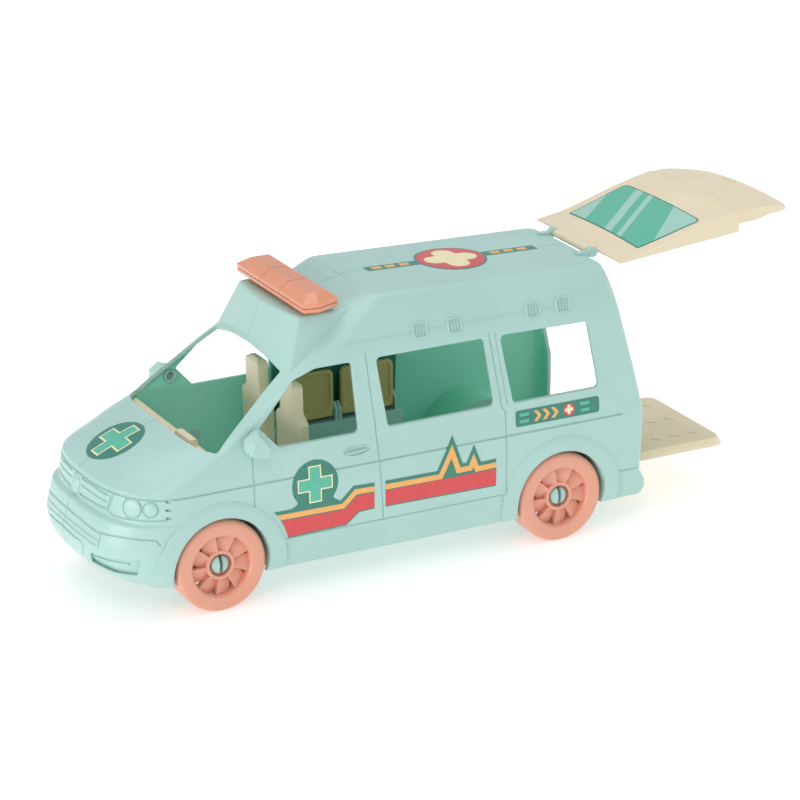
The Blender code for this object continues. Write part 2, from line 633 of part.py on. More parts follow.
def body_shells():
    """Both body halves: outer form, hollowed, with wells and bosses, then cut open."""
    outer = fuse(body_solid("outer"), lamp_step("step"))
    limit = duplicate(outer, "limit")
    for place, x, sign in axles():
        low, high = span(sign, HALF_WIDTH - 14 * MM, HALF_WIDTH + FLARE_RISE)
        flare = rod("flare", "Y", (x, AXLE_Z), FLARE_RADIUS, low, high, ARCH_SIDES)
        face_y = high if sign > 0 else low
        for vertex in flare.data.vertices:
            if abs(vertex.co.y - face_y) < 1e-6:
                away = Vector((vertex.co.x - x, vertex.co.z - AXLE_Z)) * (1 - 2.2 * MM / FLARE_RADIUS)
                vertex.co.x, vertex.co.z = x + away.x, AXLE_Z + away.y
        cut(flare, block("below", (-FAR, -FAR, -FAR), (FAR, FAR, SILL_HEIGHT + .2 * MM)))
        keep_inside(flare, body_solid("flare_limit", -FLARE_RISE))
        fuse(outer, flare)
    hollow = body_solid("hollow", WALL, foot=SILL_HEIGHT - 20 * MM)
    fuse(hollow, lamp_step("hollow_step", WALL))
    cut(outer, hollow)

    well_foot = CHASSIS_TOP + SEAM_GAP
    fittings = []
    for place, x, sign in axles():
        low, high = span(sign, WELL_END_Y, HALF_WIDTH - 1.2 * MM)
        fittings.append(rod("well", "Y", (x, AXLE_Z), WELL_RADIUS, low, high, WELL_SIDES))
    boss_top = FLOOR_HEIGHT - FLOOR_THICKNESS - SEAM_GAP
    for x, y, (to_x, to_y) in screw_places():
        fittings.append(rod("boss", "Z", (x, y), BOSS_RADIUS, well_foot, boss_top, PIN_SIDES))
        reach = 25 * MM
        half = 1.0 * MM
        ends_x = sorted((x, x + to_x * reach))
        ends_y = sorted((y, y + to_y * reach))
        fittings.append(block("web", (ends_x[0] - half, ends_y[0] - half, well_foot),
                              (ends_x[1] + half, ends_y[1] + half, ramp_underside() - 1.2 * MM)))
    for piece in fittings:
        cut(piece, block("below", (-FAR, -FAR, -FAR), (FAR, FAR, well_foot)))
        keep_inside(piece, duplicate(limit, "limit_copy"))
        fuse(outer, piece)
    bpy.data.objects.remove(limit, do_unlink=True)
    lugs(outer)

    for place, x, sign in axles():
        low, high = span(sign, WELL_END_Y + WELL_WALL, FAR)
        cut(outer, rod("arch", "Y", (x, AXLE_Z), ARCH_RADIUS, low, high, ARCH_SIDES))
    for sign in (-1, 1):
        low, high = span(sign, HALF_WIDTH / 2, FAR)
        cut(outer, prism("front_window", front_window(), "Y", low, high))
        cut(outer, rod("mirror_hole", "Y", mirror_plug_place(), MIRROR_PLUG_RADIUS + SEAM_GAP,
                       low, high, ROD_SIDES))
    for outline in side_windows():
        cut(outer, prism("side_window", outline, "Y", -FAR, -HALF_WIDTH / 2))
    cut(outer, windscreen_cutter())
    nest = TAILGATE_HALF_WIDTH + TAILGATE_BULGE + RUNNING_GAP
    doorway = rounded(mirrored([(nest - 1.5 * MM, FLOOR_HEIGHT + SEAM_GAP), (nest, BELT_HEIGHT),
                                (nest, DOORWAY_SHOULDER), (DOORWAY_TOP_HALF_WIDTH, DOORWAY_TOP)]),
                      3 * MM)
    cut(outer, prism("doorway", doorway, "X", TAIL_EDGE_TOP_X - 8 * MM, TAIL_X + 20 * MM))
    slot = RAMP_HALF_WIDTH + RUNNING_GAP
    cut(outer, block("ramp_slot", (RAMP_AXIS[0] - 3.4 * MM, -slot, ramp_underside() - SEAM_GAP),
                     (TAIL_X + 20 * MM, slot, FLOOR_HEIGHT + 3 * MM)))
    for x, y, way in screw_places():
        cut(outer, rod("pilot", "Z", (x, y), SCREW_RADIUS + PIN_GAP, 0, boss_top - 1.2 * MM,
                       PIN_SIDES))
    for x, y in peg_places():
        cut(outer, rod("peg_hole", "Z", (x, y), PEG_RADIUS + PIN_GAP, STEP_TOP - 2 * WALL,
                       STEP_TOP + WALL, PIN_SIDES))

    halves = []
    for name, sign in (("body_shell_left", -1), ("body_shell_right", 1)):
        half = duplicate(outer, name)
        half.data.name = name
        low, high = span(sign, SEAM_GAP / 2, FAR)
        keep_inside(half, block("side", (-FAR, low, -FAR), (FAR, high, FAR)))
        half.data.materials.clear()
        half.data.materials.append(material(MINT))
        halves.append(smooth(half))
    bpy.data.objects.remove(outer, do_unlink=True)
    return halves


def floor_end():
    """Rear edge of the cabin floor, clear of the ramp's hinge edge."""
    return RAMP_AXIS[0] - 4.2 * MM


def ramp_underside():
    return FLOOR_HEIGHT - RAMP_THICKNESS


def lugs(shell):
    """Ears on the body that the tailgate's and the ramp's hinge pins turn in."""
    for sign in (-1, 1):
        inner = TAILGATE_HINGE_HALF_LENGTH + RUNNING_GAP
        low, high = span(sign, inner, inner + 4.6 * MM)
        x, z = TAILGATE_AXIS
        ear = rod("ear", "Y", TAILGATE_AXIS, TAILGATE_HINGE_RADIUS + .2 * MM, low, high)
        root = block("root", (x - 9 * MM, low + .2 * MM, z - 2.3 * MM),
                     (x, high - .2 * MM, z + .6 * MM))
        fuse(ear, root)
        fuse(shell, ear)
        cut(shell, rod("eye", "Y", TAILGATE_AXIS, HINGE_PIN_RADIUS + PIN_GAP,
                       *span(sign, inner - 1 * MM, inner + 3.4 * MM)))
        inner = RAMP_HALF_WIDTH + RUNNING_GAP
        low, high = span(sign, inner, inner + 4.4 * MM)
        x, z = RAMP_AXIS
        ear = rod("ear", "Y", RAMP_AXIS, 2.7 * MM, low, high)
        root = block("root", (floor_end() + SEAM_GAP, low + .2 * MM, z - 6 * MM),
                     (TAIL_X - .5 * MM, high - .2 * MM, z))
        fuse(ear, root)
        fuse(shell, ear)
        cut(shell, rod("eye", "Y", RAMP_AXIS, HINGE_PIN_RADIUS + PIN_GAP,
                       *span(sign, inner - 1 * MM, inner + 3.2 * MM)))


def upright(name, profile, place=(0.0, 0.0), spec=None):
    """Solid turned about a vertical line: profile is (radius, height) from end to end."""
    made = spindle(name, profile, (0, 0), PIN_SIDES, spec)
    turn = Matrix.Rotation(math.radians(90), 4, "X")
    made.data.transform(Matrix.Translation((*place, 0)) @ turn)
    return made


def screw_seat(x, y):
    """Cutting tool for a screw's hole in the tray, with a cone for its sunk head."""
    slope = (SCREW_HEAD_RADIUS - SCREW_RADIUS) / SCREW_HEAD_HEIGHT
    mouth = SCREW_HEAD_RADIUS + PIN_GAP + .1 * MM
    shank = SCREW_RADIUS + PIN_GAP
    low = CHASSIS_BASE - 1 * MM
    profile = [(mouth + slope * (SCREW_FOOT - low), low),
               (shank, SCREW_FOOT + (mouth - shank) / slope), (shank, CHASSIS_TOP + 1 * MM)]
    return upright("hole", profile, (x, y))


def chassis():
    """Tray under the body, with a bracket and a split snap pin for each wheel."""
    inset = WALL + SEAM_GAP
    tray = block("chassis_base", (-FAR, -FAR, CHASSIS_BASE), (FAR, FAR, CHASSIS_TOP), MINT)
    cut(tray, block("tail", (TAIL_X - WALL - 1.5 * MM, -FAR, 0), (FAR, FAR, FAR)))
    for place, x, sign in axles():
        half = ARCH_RADIUS + RUNNING_GAP
        low, high = span(sign, WHEEL_BACK_Y - RUNNING_GAP - 1 * MM, FAR)
        cut(tray, block("notch", (x - half, low, -FAR), (x + half, high, FAR)))
    keep_inside(tray, body_solid("inside", inset, foot=0.0))
    for x, y, way in screw_places():
        cut(tray, screw_seat(x, y))
    for place, x, sign in axles():
        fuse(tray, wheel_mount(x, sign))
    for x in (nose(74), 0.0, TAIL_X - 55 * MM):
        for sign in (-1, 1):
            fuse(tray, rod("post", "Z", (x, 20 * MM * sign), 2.6 * MM, CHASSIS_TOP - 1 * MM,
                           FLOOR_HEIGHT - FLOOR_THICKNESS - SEAM_GAP, PIN_SIDES))
    return smooth(tray)


def wheel_mount(x, sign):
    """Upright bracket with a shoulder and the split pin that snaps through the wheel."""
    low, high = span(sign, BRACKET_FACE_Y - BRACKET_THICKNESS, BRACKET_FACE_Y)
    foot = CHASSIS_TOP - 1 * MM
    outline = [(x - 11 * MM, foot), (x + 11 * MM, foot)]
    for i in range(6):
        angle = math.pi * i / 5
        outline.append((x + 7.5 * MM * math.cos(angle), AXLE_Z + 7.5 * MM * math.sin(angle)))
    mount = prism("mount", outline, "Y", low, high)
    shoulder_y = WHEEL_BACK_Y - RUNNING_GAP
    lock_y = hub_lock_y() + RUNNING_GAP
    tip_y = WHEEL_FACE_Y - 1.0 * MM
    catch = PIN_RADIUS + 1.1 * MM
    shoulder = PIN_RADIUS + 2 * MM
    profile = [(shoulder, BRACKET_FACE_Y - 1 * MM), (shoulder, shoulder_y),
               (PIN_RADIUS, shoulder_y), (PIN_RADIUS, lock_y), (catch, lock_y + .6 * MM),
               (PIN_RADIUS - .6 * MM, tip_y)]
    pin = spindle("pin", [(r, y * sign) for r, y in profile], (x, AXLE_Z), ROD_SIDES)
    low, high = span(sign, shoulder_y + 1 * MM, FAR)
    cut(pin, block("slit", (x - PIN_SLIT / 2, low, 0), (x + PIN_SLIT / 2, high, 2 * AXLE_Z)))
    return fuse(mount, pin)


def hub_lock_y():
    """Shoulder in the wheel's bore that the snap pin's catch sits behind."""
    return WHEEL_FACE_Y - 5.0 * MM


def wheel(name, x, sign):
    """Tyre ring and hub joined by tilted turbine blades, with gaps at their outer corners."""
    face, back, lock = WHEEL_FACE_Y, WHEEL_BACK_Y, hub_lock_y()
    tyre = [(RIM_RADIUS, back), (WHEEL_RADIUS - 1.5 * MM, back), (WHEEL_RADIUS, back + 1.5 * MM),
            (WHEEL_RADIUS, face - 2.4 * MM), (WHEEL_RADIUS - 2.2 * MM, face),
            (RIM_RADIUS, face - 1.2 * MM)]
    bore = PIN_RADIUS + RUNNING_GAP
    hub = [(bore, back), (HUB_RADIUS, back), (HUB_RADIUS, face - 2 * MM),
           (HUB_MOUTH_RADIUS, face - 2 * MM), (HUB_MOUTH_RADIUS, lock), (bore, lock)]
    centre = (x, AXLE_Z)
    made = turned(name, [(r, y * sign) for r, y in tyre], centre, TYRE_SIDES, SALMON)
    middle = (HUB_RADIUS + RIM_RADIUS) / 2
    half_length = (RIM_RADIUS - HUB_RADIUS) / 2 + .5 * MM
    inner_half = math.pi * HUB_RADIUS / BLADE_COUNT + .35 * MM
    outer_half = math.pi * RIM_RADIUS / BLADE_COUNT - .75 * MM
    wheel_hub = turned("hub", [(r, y * sign) for r, y in hub], centre, HUB_SIDES)
    for i in range(BLADE_COUNT):
        bm = bmesh.new()
        bmesh.ops.create_cube(bm, size=1.0)
        for vertex in bm.verts:
            out = vertex.co.x > 0
            vertex.co = Vector((half_length if out else -half_length,
                                vertex.co.y * BLADE_THICKNESS,
                                math.copysign(outer_half if out else inner_half, vertex.co.z)))
        tilt = Matrix.Rotation(BLADE_TILT * sign, 4, "X")
        shift = Matrix.Translation((middle, (face - BLADE_FACE_DEPTH) * sign, 0))
        spin = Matrix.Rotation(2 * math.pi * i / BLADE_COUNT, 4, "Y")
        bm.transform(Matrix.Translation((x, 0, AXLE_Z)) @ spin @ shift @ tilt)
        fuse(wheel_hub, new_object("blade", bm))
    fuse(made, wheel_hub)
    return smooth(made)


def bar_outline(grow=0.0):
    """Plan of the light bar: straight front, and ends that draw in towards the back."""
    front = BAR_FRONT_X - grow
    back = front + BAR_DEPTH + 2 * grow
    half = BAR_HALF_LENGTH + grow
    return [(front, -half + 2 * MM), (front + 8 * MM, -half), (back, -half + 5 * MM),
            (back, half - 5 * MM), (front + 8 * MM, half), (front, half - 2 * MM)]


def peg_places():
    """x and y of the pegs that hold the light bar to the step, one in each body half."""
    return [(BAR_FRONT_X + BAR_DEPTH * .42, 22 * MM * sign) for sign in (-1, 1)]


def light_bar():
    """Base plate with two pegs through the step, and the faceted cover on it."""
    foot = STEP_TOP + SEAM_GAP
    joint = foot + BAR_BASE_HEIGHT
    plate = foot + BAR_FOOT_HEIGHT
    base = lofted("light_bar_base", [(bar_outline(-.6 * MM), plate),
                                     (bar_outline(), plate + .6 * MM),
                                     (bar_outline(), joint)], SALMON)
    back = BAR_FRONT_X + BAR_DEPTH - BAR_FOOT_INSET
    half = STEP_HALF_WIDTH - BAR_FOOT_INSET
    fuse(base, block("foot", (BAR_FRONT_X + BAR_FOOT_INSET, -half, foot),
                     (back, half, plate + .5 * MM)))
    for x, y in peg_places():
        fuse(base, rod("peg", "Z", (x, y), PEG_RADIUS, foot - WALL - 1.6 * MM, foot + 1 * MM,
                       PIN_SIDES))
    band = joint + BAR_BAND_HEIGHT
    top = []
    for x, y in bar_outline():
        share = (x - BAR_FRONT_X) / BAR_DEPTH
        top.append((BAR_FRONT_X + BAR_SLOPE + share * BAR_TOP_DEPTH,
                    math.copysign(BAR_TOP_HALF_LENGTH, y)))
    cover = lofted("light_bar_cover", [(bar_outline(), joint + SEAM_GAP),
                                       (bar_outline(.2 * MM), band),
                                       (top, foot + BAR_HEIGHT)], SALMON)
    for y in (-11.5 * MM, 11.5 * MM):
        groove = block("groove", (-FAR, y - .25 * MM, joint + .9 * MM), (FAR, y + .25 * MM, FAR))
        inner = lofted("core", [(bar_outline(-.5 * MM), joint + .5 * MM),
                                (bar_outline(-.3 * MM), band),
                                ([(a, b * .98) for a, b in top], foot + BAR_HEIGHT - .5 * MM)])
        cut(groove, inner)
        cut(cover, groove)
    return smooth(base, 20), smooth(cover, 20)


def lofted(name, sections, spec=None):
    """Solid between (outline, z) sections with the same number of points."""
    bm = bmesh.new()
    loops = [[bm.verts.new((a, b, z)) for a, b in outline] for outline, z in sections]
    count = len(loops[0])
    for low, high in zip(loops, loops[1:]):
        for j in range(count):
            n = (j + 1) % count
            bm.faces.new((low[j], low[n], high[n], high[j]))
    bm.faces.new(list(reversed(loops[0])))
    bm.faces.new(loops[-1])
    return new_object(name, bm, spec)


def tailgate_profile():
    """Outer face of the open tailgate as (distance from the axis, rise, half width)."""
    window, lower, half = TAILGATE_WINDOW_LENGTH, TAILGATE_LOWER_LENGTH, TAILGATE_HALF_WIDTH
    return [(3.6 * MM, .7 * MM, half), (8 * MM, 2.0 * MM, half), (18.5 * MM, 4.2 * MM, half),
            (between(18.5 * MM, window, .65), 14.6 * MM, half + TAILGATE_BULGE * .7),
            (window - 6 * MM, 17.8 * MM, half + TAILGATE_BULGE),
            (window, 18.8 * MM, half + TAILGATE_BULGE),
            (window + lower * .22, 19.2 * MM, half - 1.5 * MM),
            (window + lower * .5, 18.0 * MM, half - 3.4 * MM),
            (window + lower * .8, 15.6 * MM, half - 5.6 * MM),
            (window + lower * .95, 14.0 * MM, half - 8.5 * MM),
            (window + lower, 13.2 * MM, half - 13 * MM)]


def tailgate_edge(distance):
    """Height of the lower edge of the side flange above the axis."""
    window, lower = TAILGATE_WINDOW_LENGTH, TAILGATE_LOWER_LENGTH
    if distance <= window:
        return between(-1.0 * MM, 6.4 * MM, distance / window)
    return between(11.0 * MM, 10.6 * MM, (distance - window) / lower)


def tailgate():
    """Crowned outer skin with side flanges, hollow below, and its hinge barrel and pins."""
    axis_x, axis_z = TAILGATE_AXIS
    wide = TAILGATE_STEPS
    bm = bmesh.new()
    upper_rows, lower_rows = [], []
    stations = []
    for distance, rise, half in tailgate_profile():
        stations.append((distance, rise, half, tailgate_edge(distance)))
        if abs(distance - TAILGATE_WINDOW_LENGTH) < 1e-6:
            after = distance + .3 * MM
            stations.append((after, rise, half - .9 * MM, tailgate_edge(after)))
    for distance, rise, half, edge in stations:
        upper, lower = [], []
        for i in range(wide + 1):
            share = 2 * i / wide - 1
            drop = 1.6 * MM * share ** 2
            upper.append(bm.verts.new((axis_x + distance, half * share, axis_z + rise - drop)))
            lower.append(bm.verts.new((axis_x + distance, half * share, axis_z + edge)))
        upper_rows.append(upper)
        lower_rows.append(lower)
    last = len(stations) - 1
    for r in range(last):
        for i in range(wide):
            bm.faces.new((upper_rows[r][i], upper_rows[r + 1][i],
                          upper_rows[r + 1][i + 1], upper_rows[r][i + 1]))
            bm.faces.new((lower_rows[r][i], lower_rows[r][i + 1],
                          lower_rows[r + 1][i + 1], lower_rows[r + 1][i]))
        for i in (0, wide):
            bm.faces.new((upper_rows[r][i], lower_rows[r][i],
                          lower_rows[r + 1][i], upper_rows[r + 1][i]))
    for r in (0, last):
        for i in range(wide):
            bm.faces.new((upper_rows[r][i], upper_rows[r][i + 1],
                          lower_rows[r][i + 1], lower_rows[r][i]))
    skin = new_object("tailgate", bm, CREAM)

    hollow = bmesh.new()
    rows = []
    inner = [s for s in stations[1:-1]]
    for distance, rise, half, edge in inner:
        wide_in = half - TAILGATE_WALL
        row = [hollow.verts.new((axis_x + distance, wide_in * (2 * i / wide - 1),
                                 axis_z + rise - TAILGATE_WALL - 1.6 * MM * (2 * i / wide - 1) ** 2))
               for i in range(wide + 1)]
        deep = [hollow.verts.new((axis_x + distance, wide_in * (2 * i / wide - 1),
                                  axis_z - 12 * MM)) for i in range(wide + 1)]
        rows.append((row, deep))
    for (a, da), (b, db) in zip(rows, rows[1:]):
        for i in range(wide):
            hollow.faces.new((a[i], b[i], b[i + 1], a[i + 1]))
            hollow.faces.new((da[i], da[i + 1], db[i + 1], db[i]))
        for i in (0, wide):
            hollow.faces.new((a[i], da[i], db[i], b[i]))
    for a, da in (rows[0], rows[-1]):
        for i in range(wide):
            hollow.faces.new((a[i], a[i + 1], da[i + 1], da[i]))
    cut(skin, new_object("tailgate_hollow", hollow))

    barrel = rod("barrel", "Y", TAILGATE_AXIS, TAILGATE_HINGE_RADIUS,
                 -TAILGATE_HINGE_HALF_LENGTH, TAILGATE_HINGE_HALF_LENGTH)
    arm_half = TAILGATE_HINGE_HALF_LENGTH - .4 * MM
    fuse(barrel, block("arm", (axis_x, -arm_half, axis_z - 1.2 * MM),
                       (axis_x + 9 * MM, arm_half, axis_z + 1.3 * MM)))
    for sign in (-1, 1):
        low, high = span(sign, TAILGATE_HINGE_HALF_LENGTH - 1 * MM,
                         TAILGATE_HINGE_HALF_LENGTH + RUNNING_GAP + 3.0 * MM)
        fuse(barrel, rod("pin", "Y", TAILGATE_AXIS, HINGE_PIN_RADIUS, low, high, PIN_SIDES))
    fuse(skin, barrel)
    return hang(smooth(skin, 25), (axis_x, 0, axis_z))


def hang(item, pivot):
    """Give an object its origin on its joint's axis without moving its shape."""
    item.data.transform(Matrix.Translation(-Vector(pivot)))
    item.location = pivot
    return item


def ramp():
    """Tray-like ramp with sloped side bands, low grip bars, and its hinge pins."""
    axis_x, axis_z = RAMP_AXIS
    top = FLOOR_HEIGHT
    low = ramp_underside()
    tip = axis_x + RAMP_LENGTH
    half = RAMP_HALF_WIDTH
    start = axis_x - 1.4 * MM
    corner = 6 * MM

    def outline(inset, from_x):
        return rounded([(from_x, -half + inset), (tip - inset, -half + inset),
                        (tip - inset, half - inset), (from_x, half - inset)],
                       [0, corner, corner, 0], 4)

    plate = lofted("ramp", [(outline(0, start), low), (outline(0, start), low + 1.0 * MM),
                            (outline(1.8 * MM, start), top)], CREAM)
    hollow_start = axis_x + 6 * MM
    cut(plate, lofted("hollow", [(outline(2.2 * MM, hollow_start), low - 2 * MM),
                                 (outline(3.2 * MM, hollow_start), top - RAMP_WALL)]))
    # Grip bars lie in three columns across the walking face
    for column in range(3):
        for row in range(3):
            x = tip - (13 + 17 * column) * MM
            y = (row - 1) * half * .6
            fuse(plate, block("grip", (x - .6 * MM, y - 4 * MM, top - .5 * MM),
                              (x + .6 * MM, y + 4 * MM, top + .5 * MM)))
    edge = rod("edge", "Y", RAMP_AXIS, 2.2 * MM, -half + SEAM_GAP, half - SEAM_GAP)
    cut(edge, block("above", (-FAR, -FAR, top - .1 * MM), (FAR, FAR, FAR)))
    fuse(plate, edge)
    for sign in (-1, 1):
        near, far = span(sign, half - 1 * MM, half + RUNNING_GAP + 2.8 * MM)
        fuse(plate, rod("pin", "Y", RAMP_AXIS, HINGE_PIN_RADIUS, near, far, PIN_SIDES))
    return hang(smooth(plate), (axis_x, 0, axis_z))


def cabin_floor():
    """Loading floor between the wheel wells, from the dashboard to the rear doorway."""
    under = FLOOR_HEIGHT - FLOOR_THICKNESS
    floor = block("cabin_floor", (nose(70), -FAR, under), (floor_end(), FAR, FLOOR_HEIGHT),
                  MINT)
    keep_inside(floor, body_solid("inside", WALL + SEAM_GAP, foot=0.0))
    for place, x, sign in axles():
        low, high = span(sign, WELL_END_Y - SEAM_GAP, FAR)
        cut(floor, rod("well", "Y", (x, AXLE_Z), WELL_RADIUS + RUNNING_GAP, low, high,
                       WELL_SIDES))
    return join_flat_faces(floor)


def cabin_seat(name, sign):
    """One-piece front seat, open behind: cushion, shouldered back and narrower head rest."""
    foot = FLOOR_HEIGHT + SEAM_GAP
    top = foot + SEAT_HEIGHT
    y = SEAT_OFFSET_Y * sign
    half = SEAT_WIDTH / 2
    front = SEAT_BACK_X - 26 * MM
    back = SEAT_BACK_X + 2.2 * MM
    side = [(front, foot), (back, foot), (back, foot + 40 * MM), (back - .4 * MM, top - 1.5 * MM),
            (back - 1.9 * MM, top), (back - 4.5 * MM, top), (back - 6.2 * MM, top - 2 * MM),
            (back - 5.4 * MM, foot + 26 * MM), (back - 7.6 * MM, foot + 17 * MM),
            (front + 1.5 * MM, foot + 15.5 * MM), (front, foot + 14 * MM)]
    seat = prism(name, side, "Y", y - half, y + half, CREAM)
    head = 7.8 * MM
    shoulder = foot + 51 * MM
    faces = rounded([(y - half, foot - 5 * MM), (y + half, foot - 5 * MM), (y + half, shoulder),
                     (y + head, shoulder + 3.5 * MM), (y + head, top + 1 * MM),
                     (y - head, top + 1 * MM), (y - head, shoulder + 3.5 * MM),
                     (y - half, shoulder)],
                    [0, 0, 3.5 * MM, .8 * MM, 3.4 * MM, 3.4 * MM, .8 * MM, 3.5 * MM], 3)
    keep_inside(seat, prism("front_view", faces, "X", -FAR, FAR))
    wall = SEAT_WALL
    open_back = [(front + wall, -FAR), (FAR, -FAR), (FAR, foot + 47 * MM),
                 (back - 3.8 * MM, foot + 46 * MM), (back - 5.4 * MM + wall, foot + 26 * MM),
                 (back - 7.6 * MM + wall, foot + 17 * MM - wall),
                 (front + wall, foot + 15 * MM - wall)]
    cut(seat, prism("open_back", open_back, "Y", y - half + wall, y + half - wall))
    return smooth(seat)


def dashboard():
    """Shelf under the windscreen with a raised instrument hood on the driver's side."""
    low = FLOOR_HEIGHT + 22 * MM
    crest = GLASS_HEIGHT - 2.4 * MM
    wall = DASHBOARD_WALL
    rear = nose(66)
    outline = [(rear - 8 * MM, low), (rear - 1 * MM, crest - 10 * MM), (rear, crest - 2.2 * MM),
               (rear - 2 * MM, crest), (-FAR, crest), (-FAR, crest - wall),
               (rear - 3 * MM, crest - wall), (rear - wall, crest - 3 * MM),
               (rear - 1 * MM - wall, crest - 10 * MM), (rear - 8 * MM - wall, low)]
    shelf = prism("dashboard", outline, "Y", -FAR, FAR, CREAM)
    hood = rounded([(rear - 9 * MM, crest - 1 * MM), (rear - 1.5 * MM, crest - 1 * MM),
                    (rear - 3 * MM, crest + 4 * MM), (rear - 7 * MM, crest + 4 * MM)], 1.2 * MM, 2)
    fuse(shelf, prism("hood", hood, "Y", -30 * MM, -12 * MM))
    keep_inside(shelf, body_solid("inside", WALL + SEAM_GAP, foot=0.0))
    return join_flat_faces(shelf)


def side_wall_panel():
    """Thin green lining on the far wall behind the folding seats."""
    low, high = nose(143.5), nose(218)
    shell = body_solid("side_wall_panel", WALL + SEAM_GAP, foot=0.0, spec=GREEN)
    cut(shell, body_solid("inside", WALL + SEAM_GAP + PANEL_THICKNESS, foot=-FAR))
    keep_inside(shell, block("extent", (low, HALF_WIDTH / 2, jump_seat_ledge() + SEAM_GAP),
                             (high, FAR, between(GLASS_HEIGHT, ROOF_HEIGHT, .5))))
    return join_flat_faces(shell)


def jump_seat_places():
    """Name and low x of each folding seat on the far wall."""
    first = nose(145.5)
    yield "front", first
    yield "rear", first + JUMP_SEAT_WIDTH + 4.8 * MM


def wall_y(height):
    """Half width of the cabin's inner wall at a height between belt and crease."""
    share = (height - CREASE_HEIGHT) / (BELT_HEIGHT - CREASE_HEIGHT)
    return HALF_WIDTH - between(1.0 * MM, .3 * MM, min(1.0, share)) - WALL


def jump_seat_axis_y():
    return wall_y(JUMP_SEAT_AXIS_Z) - SEAM_GAP - PANEL_THICKNESS - 5.2 * MM


def jump_seat_ledge():
    return JUMP_SEAT_AXIS_Z - 3.8 * MM


def jump_seat_rail():
    """Bench ledge on the far wall with upright ears that the folding seats turn in."""
    ledge_top = jump_seat_ledge()
    y = jump_seat_axis_y()
    outer = wall_y(ledge_top) - SEAM_GAP - .4 * MM
    places = list(jump_seat_places())
    low = places[0][1] - 5 * MM
    high = places[-1][1] + JUMP_SEAT_WIDTH + 5 * MM
    rail = block("jump_seat_rail", (low, y - 3.4 * MM, FLOOR_HEIGHT + SEAM_GAP),
                 (high, outer, ledge_top), MINT)
    cut(rail, block("recess", (low + 2 * MM, y - 1.6 * MM, 0),
                    (high - 2 * MM, FAR, ledge_top - 1.8 * MM)))
    ear = 1.8 * MM
    for name, x in places:
        for left in (x - ear - RUNNING_GAP, x + JUMP_SEAT_WIDTH + RUNNING_GAP):
            foot, top = ledge_top - 1 * MM, JUMP_SEAT_AXIS_Z + 6.5 * MM
            outline = [(y - 2.4 * MM, foot), (y + 3.2 * MM, foot), (y + 3.2 * MM, top - 1 * MM),
                       (y + .8 * MM, top), (y - 2.4 * MM, top - 4.3 * MM)]
            fuse(rail, prism("ear", outline, "X", left, left + ear))
            cut(rail, rod("eye", "X", (y, JUMP_SEAT_AXIS_Z), SEAT_PIN_RADIUS + PIN_GAP,
                          left - 1 * MM, left + ear + 1 * MM, PIN_SIDES))
    return join_flat_faces(rail)


def jump_seat(name, x):
    """Folding seat plate, upright against the wall, with a stub pin at each lower corner."""
    y, z = jump_seat_axis_y(), JUMP_SEAT_AXIS_Z
    half = JUMP_SEAT_THICKNESS / 2
    high = x + JUMP_SEAT_WIDTH
    outline = rounded([(x, z - half), (high, z - half), (high, z + JUMP_SEAT_HEIGHT),
                       (x, z + JUMP_SEAT_HEIGHT)], [0, 0, 3.2 * MM, 3.2 * MM], 4)
    plate = prism(f"jump_seat_{name}", outline, "Y", y - half, y + half, CREAM)
    rim_top = z + JUMP_SEAT_HEIGHT - 2 * MM
    rim = rounded([(x + 2 * MM, z + 3 * MM), (high - 2 * MM, z + 3 * MM),
                   (high - 2 * MM, rim_top), (x + 2 * MM, rim_top)], 2 * MM, 3)
    cut(plate, prism("recess", rim, "Y", y - half - 1 * MM, y - half + .6 * MM))
    reach = RUNNING_GAP + 1.5 * MM
    for low, top in ((x - reach, x + 1 * MM), (high - 1 * MM, high + reach)):
        fuse(plate, rod("pin", "X", (y, z), SEAT_PIN_RADIUS, low, top, PIN_SIDES))
    return hang(smooth(plate), (x + JUMP_SEAT_WIDTH / 2, y, z))


def mirror(name, sign):
    """Door mirror pod on a short neck, with the round plug that snaps into the body."""
    x, z = mirror_plug_place()
    wall = HALF_WIDTH - 2.6 * MM
    bm = bmesh.new()
    bmesh.ops.create_uvsphere(bm, u_segments=12, v_segments=6, radius=1.0)
    for vertex in bm.verts:
        flat = max(vertex.co.x, -.78) if vertex.co.x < 0 else min(vertex.co.x, .62)
        vertex.co = Vector((flat * 5.6 * MM, vertex.co.y * 4.4 * MM, vertex.co.z * 8.4 * MM))
    bm.transform(Matrix.Translation((x + 1.0 * MM, (HALF_WIDTH + 4.0 * MM) * sign, z - 2 * MM)))
    pod = new_object(name, bm, MINT)
    low, high = span(sign, wall + .8 * MM + SEAM_GAP * 2, HALF_WIDTH + 3 * MM)
    neck = rod("neck", "Y", (x, z), MIRROR_PLUG_RADIUS + 1.2 * MM, low, high, PIN_SIDES)
    low, high = span(sign, wall - WALL - 1.4 * MM, HALF_WIDTH + 2 * MM)
    plug = rod("plug", "Y", (x, z), MIRROR_PLUG_RADIUS, low, high)
    cut(plug, rod("bore", "Y", (x, z), MIRROR_PLUG_RADIUS - 1 * MM,
                  *span(sign, wall - WALL - 3 * MM, wall), PIN_SIDES))
    fuse(pod, neck, plug)
    return smooth(pod)


def screws():
    """The six chassis screws, heads sunk in the tray, which share one turned mesh."""
    top = FLOOR_HEIGHT - FLOOR_THICKNESS - SEAM_GAP - 2.4 * MM
    profile = [(SCREW_HEAD_RADIUS, SCREW_FOOT), (SCREW_RADIUS, SCREW_FOOT + SCREW_HEAD_HEIGHT),
               (SCREW_RADIUS * .6, top)]
    pattern = upright("screw", profile, spec=STEEL)
    for number, (x, y, way) in enumerate(screw_places(), 1):
        screw = pattern.copy()
        screw.name = f"chassis_screw_{number}"
        screw.location = (x, y, 0)
        bpy.context.scene.collection.objects.link(screw)
    bpy.data.objects.remove(pattern, do_unlink=True)


